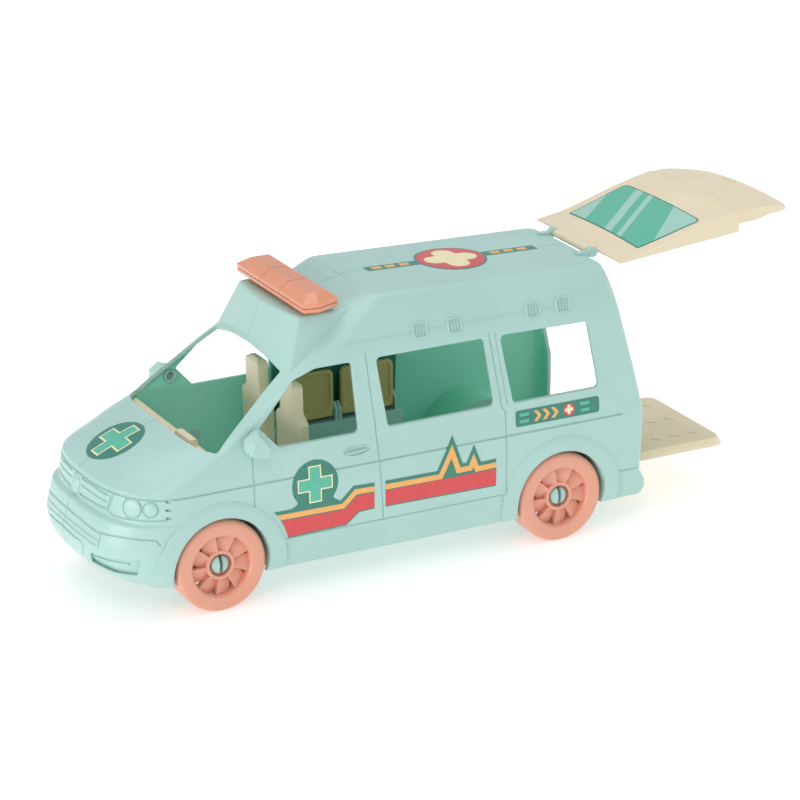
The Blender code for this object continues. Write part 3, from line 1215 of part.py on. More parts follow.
def move_origin():
    """Put the origin under the middle of the toy's length, from bumper to tailgate tip."""
    tip = TAILGATE_AXIS[0] + TAILGATE_WINDOW_LENGTH + TAILGATE_LOWER_LENGTH
    middle = (NOSE_X + tip) / 2
    for item in bpy.data.objects:
        if item.parent is None:
            item.location.x -= middle


def build():
    remove_everything()
    body_shells()
    chassis()
    cabin_floor()
    for place, x, sign in axles():
        hang(wheel(f"wheel_{place}", x, sign), (x, 0, AXLE_Z))
    light_bar()
    tailgate()
    ramp()
    dashboard()
    cabin_seat("driver_seat", -1)
    cabin_seat("passenger_seat", 1)
    side_wall_panel()
    jump_seat_rail()
    for name, x in jump_seat_places():
        jump_seat(name, x)
    mirror("mirror_left", -1)
    mirror("mirror_right", 1)
    screws()
    move_origin()


build()
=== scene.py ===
"""Looks of the toy ambulance: fine body halves, turbine wheels, stickers, plastics and light.

Metres, +Z up, the nose towards -X and the driver's side towards -Y, in the frame of the
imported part. Heights are above the ground, and lengths along the van are counted from its
nose or from the middle of its wheelbase, as on the part itself.
"""
import json
import math

import bmesh
import bpy
from mathutils import Matrix, Vector
from mathutils.bvhtree import BVHTree


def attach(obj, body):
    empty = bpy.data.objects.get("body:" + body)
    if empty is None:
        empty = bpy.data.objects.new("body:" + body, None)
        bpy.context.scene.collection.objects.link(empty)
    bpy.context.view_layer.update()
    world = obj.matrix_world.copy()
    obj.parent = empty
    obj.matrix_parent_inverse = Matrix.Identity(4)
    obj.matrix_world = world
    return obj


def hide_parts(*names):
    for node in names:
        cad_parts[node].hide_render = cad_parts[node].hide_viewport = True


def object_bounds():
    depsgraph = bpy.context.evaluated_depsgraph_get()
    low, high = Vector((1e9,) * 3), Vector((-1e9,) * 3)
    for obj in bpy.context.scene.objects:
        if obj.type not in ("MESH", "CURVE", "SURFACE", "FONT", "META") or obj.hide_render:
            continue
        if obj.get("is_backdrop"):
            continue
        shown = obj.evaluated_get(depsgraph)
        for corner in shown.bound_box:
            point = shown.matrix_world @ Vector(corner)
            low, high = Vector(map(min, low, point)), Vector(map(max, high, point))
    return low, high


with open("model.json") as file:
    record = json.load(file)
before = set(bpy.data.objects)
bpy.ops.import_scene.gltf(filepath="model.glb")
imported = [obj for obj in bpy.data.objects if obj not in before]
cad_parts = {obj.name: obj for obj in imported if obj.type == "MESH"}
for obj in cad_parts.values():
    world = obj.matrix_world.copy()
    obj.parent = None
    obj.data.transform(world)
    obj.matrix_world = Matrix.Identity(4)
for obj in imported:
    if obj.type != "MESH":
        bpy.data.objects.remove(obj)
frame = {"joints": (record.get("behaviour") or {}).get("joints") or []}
CAD_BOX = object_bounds()
JOINTS = {joint["name"]: joint for joint in frame["joints"]}

MM = 0.001
FAR = 400.0 * MM

# Stance, from the part's own joints
FRONT_AXLE_X = JOINTS["front_left_wheel"]["pos_m"][0]
REAR_AXLE_X = JOINTS["rear_left_wheel"]["pos_m"][0]
MIDDLE_X = (FRONT_AXLE_X + REAR_AXLE_X) / 2
AXLE_Z = JOINTS["front_left_wheel"]["pos_m"][2]
WHEEL_RADIUS = AXLE_Z

# Body shell, with the same driving sizes as the part
NOSE_X = FRONT_AXLE_X - 64.0 * MM
TAIL_X = REAR_AXLE_X + 51.1 * MM
HALF_WIDTH = 56.6 * MM
SILL_HEIGHT = 16.5 * MM
CREASE_HEIGHT = 32.5 * MM
BELT_HEIGHT = 65.7 * MM
GLASS_HEIGHT = 84.0 * MM
ROOF_HEIGHT = 148.4 * MM
ROOF_HALF_WIDTH = 38.5 * MM
ROOF_FALL = 0.032
ROOF_CROWN = 1.4 * MM
ROOF_EDGE = 2.6 * MM              # reach of the rounded roof edge on both sides of the ridge
WALL = 2.0 * MM
TAIL_LEAN = 16.5 * MM
TAIL_CORNER = 5.0 * MM
SCREEN_FOOT = (53.0 * MM, 3.9 * MM)
SCREEN_TOP = (104.5 * MM, 39.4 * MM)

# Wheel arches
ARCH_RADIUS = WHEEL_RADIUS + 2.0 * MM
FLARE_RADIUS = ARCH_RADIUS + 8.0 * MM
FLARE_RISE = 1.1 * MM
WELL_WALL = 1.6 * MM
WELL_RADIUS = ARCH_RADIUS + WELL_WALL
WHEEL_FACE_Y = 55.2 * MM
WHEEL_BACK_Y = WHEEL_FACE_Y - 16.0 * MM
WELL_END_Y = WHEEL_FACE_Y - 25.5 * MM

# Openings
WINDOW_CORNER = 2.6 * MM
WINDOW_BASE = 82.8 * MM
WINDOW_TOP = 119.3 * MM
DOORWAY_SHOULDER = 126.0 * MM
DOORWAY_TOP_HALF_WIDTH = 36.0 * MM
DOORWAY_TOP = 138.0 * MM
FLOOR_HEIGHT = 33.0 * MM
FLOOR_UNDERSIDE = FLOOR_HEIGHT - 2.0 * MM

# Light bar and its step
STEP_TOP = ROOF_HEIGHT - 5.6 * MM
STEP_HALF_WIDTH = 34.6 * MM
BAR_HALF_LENGTH = 42.0 * MM
BAR_DEPTH = 21.0 * MM
BAR_HEIGHT = 11.4 * MM
BAR_FOOT_HEIGHT = 3.0 * MM
BAR_FOOT_INSET = 3.0 * MM
BAR_BASE_HEIGHT = 4.8 * MM
BAR_BAND_HEIGHT = 2.4 * MM
BAR_TOP_HALF_LENGTH = 34.2 * MM
BAR_TOP_DEPTH = 10.3 * MM
BAR_SLOPE = 5.4 * MM
BAR_FRONT_X = NOSE_X + 119.3 * MM
PEG_RADIUS = 1.6 * MM

# Wheels and the pins that they turn on
RIM_RADIUS = 15.9 * MM
HUB_RADIUS = 8.1 * MM
HUB_MOUTH_RADIUS = 6.05 * MM
HUB_LOCK_Y = WHEEL_FACE_Y - 5.0 * MM
PIN_RADIUS = 3.8 * MM
PIN_SLIT = 1.8 * MM
BLADE_COUNT = 9
BLADE_FACE_DEPTH = 3.4 * MM       # from the wheel's face to the middle of a blade
BLADE_LIFT = 1.35 * MM            # of one edge of a blade over its middle
BLADE_GAP = 3.1 * MM              # open corner beside each blade at the rim
BRACKET_THICKNESS = 4.6 * MM
BRACKET_FACE_Y = WHEEL_BACK_Y - 2.6 * MM

# Tailgate and ramp
TAIL_EDGE_TOP_X = TAIL_X - TAIL_LEAN
TAILGATE_AXIS = (TAIL_EDGE_TOP_X + 3.0 * MM, ROOF_HEIGHT - 2.5 * MM)
TAILGATE_HALF_WIDTH = 44.8 * MM
TAILGATE_BULGE = 0.9 * MM
TAILGATE_WINDOW_LENGTH = 76.0 * MM
TAILGATE_LOWER_LENGTH = 37.3 * MM
TAILGATE_WALL = 1.8 * MM
TAILGATE_CROWN = 1.6 * MM
TAILGATE_HINGE_RADIUS = 2.3 * MM
TAILGATE_HINGE_HALF_LENGTH = 17.5 * MM
RAMP_AXIS = (TAIL_X - 6.1 * MM, FLOOR_HEIGHT - 2.5 * MM)
RAMP_LENGTH = 68.2 * MM
RAMP_HALF_WIDTH = 38.4 * MM
RAMP_UNDERSIDE = FLOOR_HEIGHT - 4.6 * MM
RAMP_WALL = 1.6 * MM
HINGE_PIN_RADIUS = 1.3 * MM
FLOOR_END = RAMP_AXIS[0] - 4.2 * MM    # rear edge of the cabin floor, clear of the ramp's hinge

# Chassis and screws
CHASSIS_BASE = 17.2 * MM
CHASSIS_TOP = CHASSIS_BASE + 2.0 * MM
BOSS_RADIUS = 3.3 * MM
SCREW_RADIUS = 1.3 * MM
SCREW_FOOT = CHASSIS_BASE + .1 * MM
SCREW_HEAD_RADIUS = 2.8 * MM
SCREW_HEAD_HEIGHT = 1.4 * MM

# Clearances
SEAM_GAP = 0.3 * MM
RUNNING_GAP = 0.4 * MM
PIN_GAP = 0.3 * MM
BOSS_TOP = FLOOR_UNDERSIDE - SEAM_GAP

# Seats, lining and mirrors
SEAT_WIDTH = 27.0 * MM
SEAT_HEIGHT = 71.5 * MM
SEAT_OFFSET_Y = 21.0 * MM
SEAT_BACK_X = MIDDLE_X - 41.0 * MM
SEAT_WALL = 1.8 * MM
PANEL_THICKNESS = 1.2 * MM
DASHBOARD_WALL = 1.8 * MM
JUMP_SEAT_WIDTH = 31.5 * MM
JUMP_SEAT_HEIGHT = 25.5 * MM
JUMP_SEAT_THICKNESS = 2.8 * MM
JUMP_SEAT_AXIS_Y, JUMP_SEAT_AXIS_Z = JOINTS["front_jump_seat_hinge"]["pos_m"][1:]
LEDGE_TOP = JUMP_SEAT_AXIS_Z - 3.8 * MM
SEAT_PIN_RADIUS = 1.1 * MM
MIRROR_PLUG_RADIUS = 3.4 * MM

# Heights of the printed film's layers over the plastic, from its foot upwards
FILM = [.02 * MM, .10 * MM, .16 * MM, .22 * MM]


def mm(*values):
    """Lengths in metres from millimetres."""
    return [value * MM for value in values]


def places(*pairs, x=0.0, y=0.0):
    """Points in metres from pairs of millimetres beside an origin."""
    return [(x + a * MM, y + b * MM) for a, b in pairs]


def along_van(millimetres):
    """x at a distance behind the middle of the wheelbase."""
    return MIDDLE_X + millimetres * MM


def nose(millimetres):
    """x at a distance behind the nose."""
    return NOSE_X + millimetres * MM


def between(low, high, share):
    return low + (high - low) * share


def span(sign, near, far):
    """Order two distances from the centre plane on one side as low and high y."""
    return (near, far) if sign > 0 else (-far, -near)


def axles():
    """Wheel places: name, x, and side as -1 for the driver's side or 1 for the other."""
    for end, x in (("front", FRONT_AXLE_X), ("rear", REAR_AXLE_X)):
        for side, sign in (("left", -1), ("right", 1)):
            yield f"{end}_{side}", x, sign


def new_object(name, bm):
    """Put a bmesh into the scene as an object, with its faces turned outwards."""
    bmesh.ops.recalc_face_normals(bm, faces=bm.faces)
    mesh = bpy.data.meshes.new(name)
    bm.to_mesh(mesh)
    bm.free()
    made = bpy.data.objects.new(name, mesh)
    bpy.context.scene.collection.objects.link(made)
    return made


def discard(*items):
    for item in items:
        bpy.data.objects.remove(item, do_unlink=True)


def applied(item):
    """Put what a piece's modifiers make of it in place of its mesh."""
    view = bpy.context.evaluated_depsgraph_get()
    result = bpy.data.meshes.new_from_object(item.evaluated_get(view))
    item.modifiers.clear()
    old = item.data
    item.data = result
    bpy.data.meshes.remove(old)
    return item


def boolean(target, tool, operation, keep_tool=False):
    """Apply one boolean to target, and remove the tool unless it is still wanted."""
    step = target.modifiers.new(operation.lower(), "BOOLEAN")
    step.operation = operation
    step.solver = "MANIFOLD"
    step.object = tool
    applied(target)
    if not keep_tool:
        discard(tool)
    return target


def cut(target, *tools):
    for tool in tools:
        boolean(target, tool, "DIFFERENCE")
    return target


def fuse(target, *tools):
    for tool in tools:
        boolean(target, tool, "UNION")
    return target


def keep_inside(target, tool, keep_tool=False):
    return boolean(target, tool, "INTERSECT", keep_tool)


def both_sides(target, tool, operation):
    """Use a tool and its mirror image on a target."""
    twin = reflected(tool, "twin")
    boolean(target, tool, operation)
    return boolean(target, twin, operation)


def softened(item, width, segments=3, angle=28.0):
    """Round the edges of a piece that are sharper than an angle."""
    step = item.modifiers.new("soften", "BEVEL")
    step.width = width
    step.segments = segments
    step.limit_method = "ANGLE"
    step.angle_limit = math.radians(angle)
    return applied(item)


def duplicate(source, name):
    made = source.copy()
    made.data = source.data.copy()
    made.name = made.data.name = name
    bpy.context.scene.collection.objects.link(made)
    return made


def reflected(source, name):
    """Copy of a piece on the other side of the centre plane."""
    made = duplicate(source, name)
    made.data.transform(Matrix.Scale(-1, 4, (0, 1, 0)))
    made.data.flip_normals()
    return made


def smooth(item, angle=30.0):
    """Smooth shading, with edges above the angle kept sharp."""
    bm = bmesh.new()
    bm.from_mesh(item.data)
    bmesh.ops.remove_doubles(bm, verts=bm.verts, dist=1e-7)
    bmesh.ops.dissolve_degenerate(bm, edges=bm.edges, dist=1e-7)
    bm.to_mesh(item.data)
    bm.free()
    item.data.shade_smooth()
    item.data.set_sharp_from_angle(angle=math.radians(angle))
    return item


def block(name, low, high):
    bm = bmesh.new()
    bmesh.ops.create_cube(bm, size=1.0)
    size = Vector(high) - Vector(low)
    middle = (Vector(high) + Vector(low)) / 2
    for vertex in bm.verts:
        vertex.co = Vector(a * b for a, b in zip(vertex.co, size)) + middle
    return new_object(name, bm)


def skin(bm, loops, closed=False):
    """Faces between neighbouring loops of vertices, and from the last to the first if closed."""
    for low, high in zip(loops, loops[1:] + (loops[:1] if closed else [])):
        for j in range(len(low)):
            n = (j + 1) % len(low)
            bm.faces.new((low[j], low[n], high[n], high[j]))


def stacked(name, loops, closed=False):
    """Solid through loops of points with the same number each: a ring if closed, or capped."""
    bm = bmesh.new()
    rows = [[bm.verts.new(point) for point in loop] for loop in loops]
    skin(bm, rows, closed)
    if not closed:
        bm.faces.new(list(reversed(rows[0])))
        bm.faces.new(rows[-1])
    return new_object(name, bm)


def along(axis, a, b, c):
    """Point with c along the axis, and a and b along the other two in X, Y, Z order."""
    return {"X": (c, a, b), "Y": (a, c, b), "Z": (a, b, c)}[axis]


def lofted(name, sections, axis="Z"):
    """Solid between (outline, height) sections with the same number of points."""
    return stacked(name, [[along(axis, a, b, c) for a, b in outline] for outline, c in sections])


def prism(name, outline, axis, low, high):
    """Closed outline of (a, b) points, extruded along an axis from low to high."""
    return lofted(name, [(outline, low), (outline, high)], axis)


def oval(centre, half_width, half_height, sides=48, turn=0.0):
    """Outline of an ellipse, with its first corner turned by a share of one side."""
    angles = [2 * math.pi * (i + turn) / sides for i in range(sides)]
    return [(centre[0] + half_width * math.cos(angle), centre[1] + half_height * math.sin(angle))
            for angle in angles]


def circle(centre, radius, sides):
    return oval(centre, radius, radius, sides, .5)


def rod(name, axis, centre, radius, low, high, sides=32):
    """Round bar along an axis: centre is its (a, b) place across that axis."""
    return prism(name, circle(centre, radius, sides), axis, low, high)


def spindle(name, profile, centre, axis="Y", sides=32):
    """Solid turned about a line: profile is (radius, place along the line) from end to end."""
    return lofted(name, [(circle(centre, radius, sides), place) for radius, place in profile], axis)


def turned(name, profile, sides):
    """Ring: closed (radius, y) profile turned about the Y axis."""
    loops = []
    for i in range(sides):
        angle = 2 * math.pi * i / sides
        loops.append([(r * math.cos(angle), y, r * math.sin(angle)) for r, y in profile])
    return stacked(name, loops, True)


def rounded(corners, radius, steps=6):
    """Outline with each corner replaced by an arc: radius may be one value or one each."""
    points = [Vector(p) for p in corners]
    radii = radius if isinstance(radius, (list, tuple)) else [radius] * len(points)
    outline = []
    for i, (corner, size) in enumerate(zip(points, radii)):
        if size <= 0:
            outline.append(tuple(corner))
            continue
        before = (points[i - 1] - corner).normalized()
        after = (points[(i + 1) % len(points)] - corner).normalized()
        half = before.angle(after) / 2
        reach = size / math.tan(half)
        centre = corner + (before + after).normalized() * size / math.sin(half)
        start = corner + before * reach - centre
        end = corner + after * reach - centre
        sweep_angle = start.angle_signed(end)
        for k in range(steps + 1):
            spin = Matrix.Rotation(-sweep_angle * k / steps, 2)
            outline.append(tuple(centre + spin @ start))
    return outline


def mirrored(half_outline):
    """Outline on both sides of a = 0 from its points on the positive side, low to high."""
    return half_outline + [(-a, b) for a, b in reversed(half_outline) if a > 0]


def bezier(start, control, end, steps):
    """Points of a quadratic curve, both ends included."""
    points = []
    for k in range(steps + 1):
        t = k / steps
        points.append(tuple(a * (1 - t) ** 2 + 2 * b * t * (1 - t) + c * t ** 2
                            for a, b, c in zip(start, control, end)))
    return points


def flowing(knots, values):
    """Function through the knots that bends smoothly and never overshoots them."""
    steps = [b - a for a, b in zip(knots, knots[1:])]
    rates = [(b - a) / step for a, b, step in zip(values, values[1:], steps)]
    slopes = [rates[0]]
    for k in range(1, len(rates)):
        if rates[k - 1] * rates[k] <= 0:
            slopes.append(0.0)
        else:
            first, second = 2 * steps[k] + steps[k - 1], steps[k] + 2 * steps[k - 1]
            slopes.append((first + second) / (first / rates[k - 1] + second / rates[k]))
    slopes.append(rates[-1])

    def at(place):
        k = 0
        while k < len(steps) - 1 and place > knots[k + 1]:
            k += 1
        t = (place - knots[k]) / steps[k]
        return (values[k] * (1 + 2 * t) * (1 - t) ** 2 + slopes[k] * steps[k] * t * (1 - t) ** 2
                + values[k + 1] * t * t * (3 - 2 * t) + slopes[k + 1] * steps[k] * t * t * (t - 1))
    return at


# The body surface is a stack of level rings, as on the part. Each ring has its height at the
# side and at the nose, its foremost x, the x where its straight side begins, its half width,
# how full its front corners are, its rear x, and its fall per length behind that bend.
FIELDS = ("side_z", "nose_z", "nose_x", "bend_x", "half_width", "fullness", "rear_x", "fall")
NOSE_FIELDS = ("nose_z", "nose_x", "bend_x", "fullness")
FINE_STEPS = dict(front=30, side=22, tail=7, cap=14)
PLAIN_STEPS = dict(front=14, side=5, tail=4, cap=6)


def ring(side_z, nose_z, front, bend, inset, fullness, rear_x, fall=0.0):
    """One ring: front and bend are millimetres behind the nose, inset is from the full width."""
    return dict(zip(FIELDS, (side_z, nose_z, nose(front), nose(bend), HALF_WIDTH - inset * MM,
                             fullness, rear_x, fall)))


def lean(height):
    """Rear edge: upright to the belt line, then leaning forward up to the roof."""
    rise = max(0.0, height - BELT_HEIGHT) / (ROOF_HEIGHT - BELT_HEIGHT)
    return TAIL_X - TAIL_LEAN * rise


def lower_rings():
    """From the sill to the bumper's upper lip."""
    sill, crease, belt = SILL_HEIGHT, CREASE_HEIGHT, BELT_HEIGHT
    curl, swell = between(sill, crease, .3), between(sill, crease, .66)
    return [ring(side_z, nose_z, front, 50.5, inset, fullness, TAIL_X + rear * MM)
            for side_z, nose_z, front, inset, fullness, rear in (
                (sill, sill, 16, 4.1, 2.2, 1.9),
                (curl, curl, 9.5, 2.6, 2.4, 3.4),
                (swell, swell, 3.8, 1.3, 2.6, 1.3),
                (crease - .8 * MM, crease - .8 * MM, 1.2, 1.0, 2.7, -1.2),
                (crease + .8 * MM, crease + .8 * MM, .8, .7, 2.7, -1.1),
                (crease + 6 * MM, crease + 6 * MM, 0, .4, 2.8, -.9),
                (crease + 13 * MM, crease + 13.5 * MM, 2, .1, 2.8, -.6),
                (belt - 14.2 * MM, belt - 10.9 * MM, 4.4, 0, 2.8, -.3))]


def middle_rings():
    """From behind the bumper's lip over the belt line and the bonnet to the windscreen."""
    belt, glass = BELT_HEIGHT, GLASS_HEIGHT
    rings = [ring(belt - 13.4 * MM, belt - 10.1 * MM, 7.7, 50.5, 0, 2.7, TAIL_X - .3 * MM),
             ring(belt - .8 * MM, belt + 1.2 * MM, 9.2, 49, .2, 2.5, TAIL_X),
             ring(belt + .8 * MM, belt + 2.8 * MM, 9.3, 49, .4, 2.5, TAIL_X)]
    for height, lift, front, bend, inset, fullness in (
            (belt + 3.4 * MM, 2.6, 12.2, 52, .7, 2.5),
            (between(belt, glass, .42), 3.8, 23.5, 58, 1.0, 2.5),
            (between(belt, glass, .72), 3.8, 36.5, 64, 1.5, 2.6), (glass, 3.9, 53, 70.5, 1.9, 2.7)):
        rings.append(ring(height, height + lift * MM, front, bend, inset, fullness, lean(height)))
    return rings


def upper_rings():
    """Windscreen and the roof behind it: heights as shares of the way from glass to roof."""
    roof = ROOF_HEIGHT
    rings = [middle_rings()[-1]]
    for share, lift, front, bend, inset, fullness in (
            (.23, 6.6, 78.8, 91.5, 4.0, 3.4), (.465, 9.4, 104.5, 112.5, 6.1, 4.0),
            (.59, 9.0, 118.5, 128.5, 7.2, 3.8), (.73, 7.5, 132.5, 142.5, 9.4, 3.6),
            (.86, 6.0, 145.0, 154.5, 12.3, 3.6)):
        height = between(GLASS_HEIGHT, roof, share)
        rings.append(ring(height, height + lift * MM, front, bend, inset, fullness, lean(height),
                          ROOF_FALL * share ** 3))
    last = ring(roof, roof + .6 * MM, 156.5, 165, 0, 3.6, lean(roof), ROOF_FALL)
    return rings + [dict(last, half_width=ROOF_HALF_WIDTH)]


def roof_inner_ring():
    """Ring on the roof, inside its rounded edge."""
    edge = upper_rings()[-1]
    half = edge["half_width"] - ROOF_EDGE
    return dict(edge, half_width=half, nose_x=edge["nose_x"] + ROOF_EDGE,
                rear_x=edge["rear_x"] - ROOF_EDGE * .6,
                side_z=edge["side_z"] + ROOF_CROWN * (1 - (half / ROOF_HALF_WIDTH) ** 2),
                nose_z=edge["nose_z"] + ROOF_FALL * ROOF_EDGE)


def ring_run(rings, whole=None):
    """Function that gives the ring at any side height within a run of rings."""
    tracks = {}
    for field in FIELDS:
        source = rings if field in NOSE_FIELDS or whole is None else whole
        tracks[field] = flowing([r["side_z"] for r in source], [r[field] for r in source])
    return lambda height: {field: tracks[field](height) for field in FIELDS}


def blend_rings(before, corner, after, steps):
    """Rings of a rounded edge between two rings, with the sharp corner as the control."""
    rows = bezier(before.values(), corner.values(), after.values(), steps)
    return [dict(zip(FIELDS, row)) for row in rows]


def spread(run, low, high, spacing):
    """Rings from low to high, both ends included, about one spacing apart."""
    count = max(1, math.ceil((high - low) / spacing))
    return [run(between(low, high, k / count)) for k in range(count + 1)]


def fine_rings(spacing=2.6 * MM):
    """All rings of the outer surface, with its lips and edges rounded."""
    lower, middle, upper = lower_rings(), middle_rings(), upper_rings()
    sides = middle + upper[1:]
    low_run = ring_run(lower)
    ledge_run = ring_run([lower[-1], middle[0]])
    middle_run = ring_run(middle, sides)
    upper_run = ring_run(upper, sides)
    lip, ledge = lower[-1]["side_z"], middle[0]["side_z"]
    glass, roof = GLASS_HEIGHT, ROOF_HEIGHT
    rings = spread(low_run, SILL_HEIGHT, lip - .8 * MM, spacing)
    rings += blend_rings(rings.pop(), low_run(lip), ledge_run(lip + .2 * MM), 4)
    rings += blend_rings(ledge_run(ledge - .12 * MM), middle[0], middle_run(ledge + .5 * MM), 3)
    rings += spread(middle_run, ledge + .5 * MM, glass - 1.3 * MM, spacing)[1:]
    rings += blend_rings(rings.pop(), middle_run(glass), upper_run(glass + 1.3 * MM), 4)
    rings += spread(upper_run, glass + 1.3 * MM, roof - ROOF_EDGE * .84, spacing)[1:]
    rings += blend_rings(rings.pop(), upper_run(roof), roof_inner_ring(), 6)
    return rings


def plain_rings(spacing=6.0 * MM):
    """Rings of the inner surface, without the bumper's lip."""
    below = lower_rings()[:3] + lower_rings()[4:-1] + middle_rings()
    above = upper_rings()
    sides = below + above[1:]
    rings = spread(ring_run(below, sides), SILL_HEIGHT, GLASS_HEIGHT, spacing)
    return rings + spread(ring_run(above, sides), GLASS_HEIGHT, ROOF_HEIGHT, spacing)[1:]


def half_ring(level, steps):
    """Points of one ring on the driver's side, from the nose round to the tail."""
    side_z, nose_z, nose_x, bend_x, width, fullness, rear_x, fall = (level[f] for f in FIELDS)
    points = []
    for i in range(steps["front"] + 1):
        angle = math.pi / 2 * i / steps["front"]
        y = width * max(0.0, math.sin(angle)) ** (2 / fullness)
        x = bend_x - (bend_x - nose_x) * max(0.0, math.cos(angle)) ** (2 / fullness)
        points.append((x, -y, side_z + (nose_z - side_z) * (1 - (y / width) ** 2)))
    corner_x = rear_x - TAIL_CORNER
    for i in range(1, steps["side"] + 1):
        points.append((between(bend_x, corner_x, i / steps["side"]), -width, side_z))
    for i in range(1, steps["tail"] + 1):
        angle = math.pi / 2 * i / steps["tail"]
        points.append((corner_x + TAIL_CORNER * math.sin(angle),
                       -width + TAIL_CORNER * (1 - math.cos(angle)), side_z))
    points.append((rear_x, 0.0, side_z))
    return [Vector((x, y, z - fall * max(0.0, x - bend_x))) for x, y, z in points]


def roof_cap(bm, top, steps):
    """Crowned faces across the roof, between the two sides of its last ring."""
    last = len(top) // 2
    rows = []
    for j in range(last + 1):
        left, right = top[j], top[-j % len(top)]
        row = [left]
        for k in range(1, steps):
            if left == right:
                row.append(left)
                continue
            place = left.co.lerp(right.co, k / steps)
            place.z += ROOF_CROWN * (left.co.y ** 2 - place.y ** 2) / ROOF_HALF_WIDTH ** 2
            row.append(bm.verts.new(place))
        rows.append(row + [right])
    for before, after in zip(rows, rows[1:]):
        for k in range(steps):
            corners = (before[k], after[k], after[k + 1], before[k + 1])
            bm.faces.new(list(dict.fromkeys(corners)))


def body_solid(name, inset=0.0, foot=None, plain=False):
    """The van's outer form, moved inwards by inset. A foot height opens it downwards."""
    steps = PLAIN_STEPS if plain else FINE_STEPS
    bm = bmesh.new()
    grid = []
    for level in plain_rings() if plain else fine_rings():
        half = half_ring(level, steps)
        loop = half + [Vector((p.x, -p.y, p.z)) for p in reversed(half[1:-1])]
        grid.append([bm.verts.new(p) for p in loop])
    skin(bm, grid)
    roof_cap(bm, grid[-1], steps["cap"])
    bottom = bm.faces.new(list(reversed(grid[0])))
    if inset:
        bmesh.ops.recalc_face_normals(bm, faces=bm.faces)
        bm.faces.remove(bottom)
        bm.normal_update()
        moves = [(vertex, vertex.co - vertex.normal * inset) for vertex in bm.verts]
        for vertex, place in moves:
            vertex.co = place
        bottom = bm.faces.new(list(reversed(grid[0])))
    if foot is not None:
        bm.faces.remove(bottom)
        for vertex in grid[0]:
            vertex.co.z = SILL_HEIGHT
        lower = [bm.verts.new((v.co.x, v.co.y, foot)) for v in grid[0]]
        skin(bm, [lower, grid[0]])
        bm.faces.new(list(reversed(lower)))
    return new_object(name, bm)


def inner_form():
    """What fits inside the body's walls, open downwards."""
    return body_solid("inside", WALL + SEAM_GAP, foot=0.0, plain=True)


def step_outline(front_x, half_width, back_x, corner):
    """Plan of the light bar's step: bowed front, rounded front corners."""
    bow = 4.6 * MM
    count = 14
    front = []
    for i in range(count + 1):
        share = (2 * i / count - 1) * .9
        front.append((front_x + bow * share ** 2, half_width * share))
    points = [(back_x, -half_width), (front_x + bow, -half_width), *front,
              (front_x + bow, half_width), (back_x, half_width)]
    return rounded(points, [0, corner, *[0] * len(front), corner, 0], 5)


def lamp_step(name, inset=0.0):
    """Raised step over the windscreen that carries the light bar."""
    back_x = nose(151) - inset
    foot = between(GLASS_HEIGHT, ROOF_HEIGHT, .45)
    edge = 1.5 * MM
    top = STEP_TOP - inset
    corner = 2.0 * MM
    wide = STEP_HALF_WIDTH - inset
    sections = [(step_outline(nose(102) + inset, wide + 11.5 * MM, back_x, corner), foot)]
    profile = bezier((top - edge, nose(113.0) + inset, wide + .9 * MM),
                     (top, nose(113.4) + inset, wide + .5 * MM),
                     (top, nose(114.9) + inset, wide - .9 * MM), 5)
    for height, front_x, half_width in profile:
        lift = 1e-5 * len(sections) if height >= top else 0.0
        sections.append((step_outline(front_x, half_width, back_x, corner), height + lift))
    return lofted(name, sections)


# Directions that outlines are drawn in and thrown onto the body along: the drawing's two
# axes, the way it looks, and where its first axis counts from. The corner view looks at the
# driver's side front corner.
DIAGONAL = math.sqrt(0.5)
VIEWS = {
    "side": (Vector((1, 0, 0)), Vector((0, 0, 1)), Vector((0, 1, 0)), MIDDLE_X),
    "nose": (Vector((0, 1, 0)), Vector((0, 0, 1)), Vector((1, 0, 0)), 0.0),
    "corner": (Vector((DIAGONAL, -DIAGONAL, 0)), Vector((0, 0, 1)),
               Vector((DIAGONAL, DIAGONAL, 0)), MIDDLE_X * DIAGONAL),
    "top": (Vector((1, 0, 0)), Vector((0, 1, 0)), Vector((0, 0, -1)), MIDDLE_X),
}
LINE_SPACING = 1.2 * MM
SHUT_LINE = (.75, .55)            # width and depth of a groove, in millimetres
THIN_LINE = (.6, .4)


def drawn(view, *pairs):
    """Points in a view's own axes from pairs of millimetres."""
    return places(*pairs, x=VIEWS[view][3])


def boxed(view, left, right, low, high, corner=0.0, steps=5):
    """Rectangle in a view from millimetres, with its corners rounded if wanted."""
    corners = drawn(view, (left, low), (right, low), (right, high), (left, high))
    return rounded(corners, corner * MM, steps)


def surface_of(item):
    """Tree that rays are cast on to find places on a piece's surface."""
    bm = bmesh.new()
    bm.from_mesh(item.data)
    tree = BVHTree.FromBMesh(bm)
    bm.free()
    return tree


def resampled(corners, spacing):
    """Points along a line of corners, at most a spacing apart, both ends included."""
    points = []
    for a, b in zip(corners, corners[1:]):
        count = max(1, math.ceil((b - a).length / spacing))
        points += [a.lerp(b, k / count) for k in range(count)]
    return points + [corners[-1]]


def trace(surface, view, points, spacing=LINE_SPACING, closed=False):
    """Places and outward directions on a surface along an outline drawn in a view."""
    across, up, way, origin = VIEWS[view]
    corners = [Vector(p) for p in points]
    samples = resampled(corners + corners[:1], spacing)[:-1] if closed else resampled(corners, spacing)
    track = []
    for sample in samples:
        start = across * sample.x + up * sample.y - way * FAR
        place, normal, index, distance = surface.ray_cast(start, way)
        if place is not None:
            track.append((place, -normal if normal.dot(way) > 0 else normal.copy()))
    return track


def place_on(surface, view, point):
    """Place and outward direction where a view's line of sight through a point meets a surface."""
    return trace(surface, view, [point, (point[0] + 1e-6, point[1])])[0]


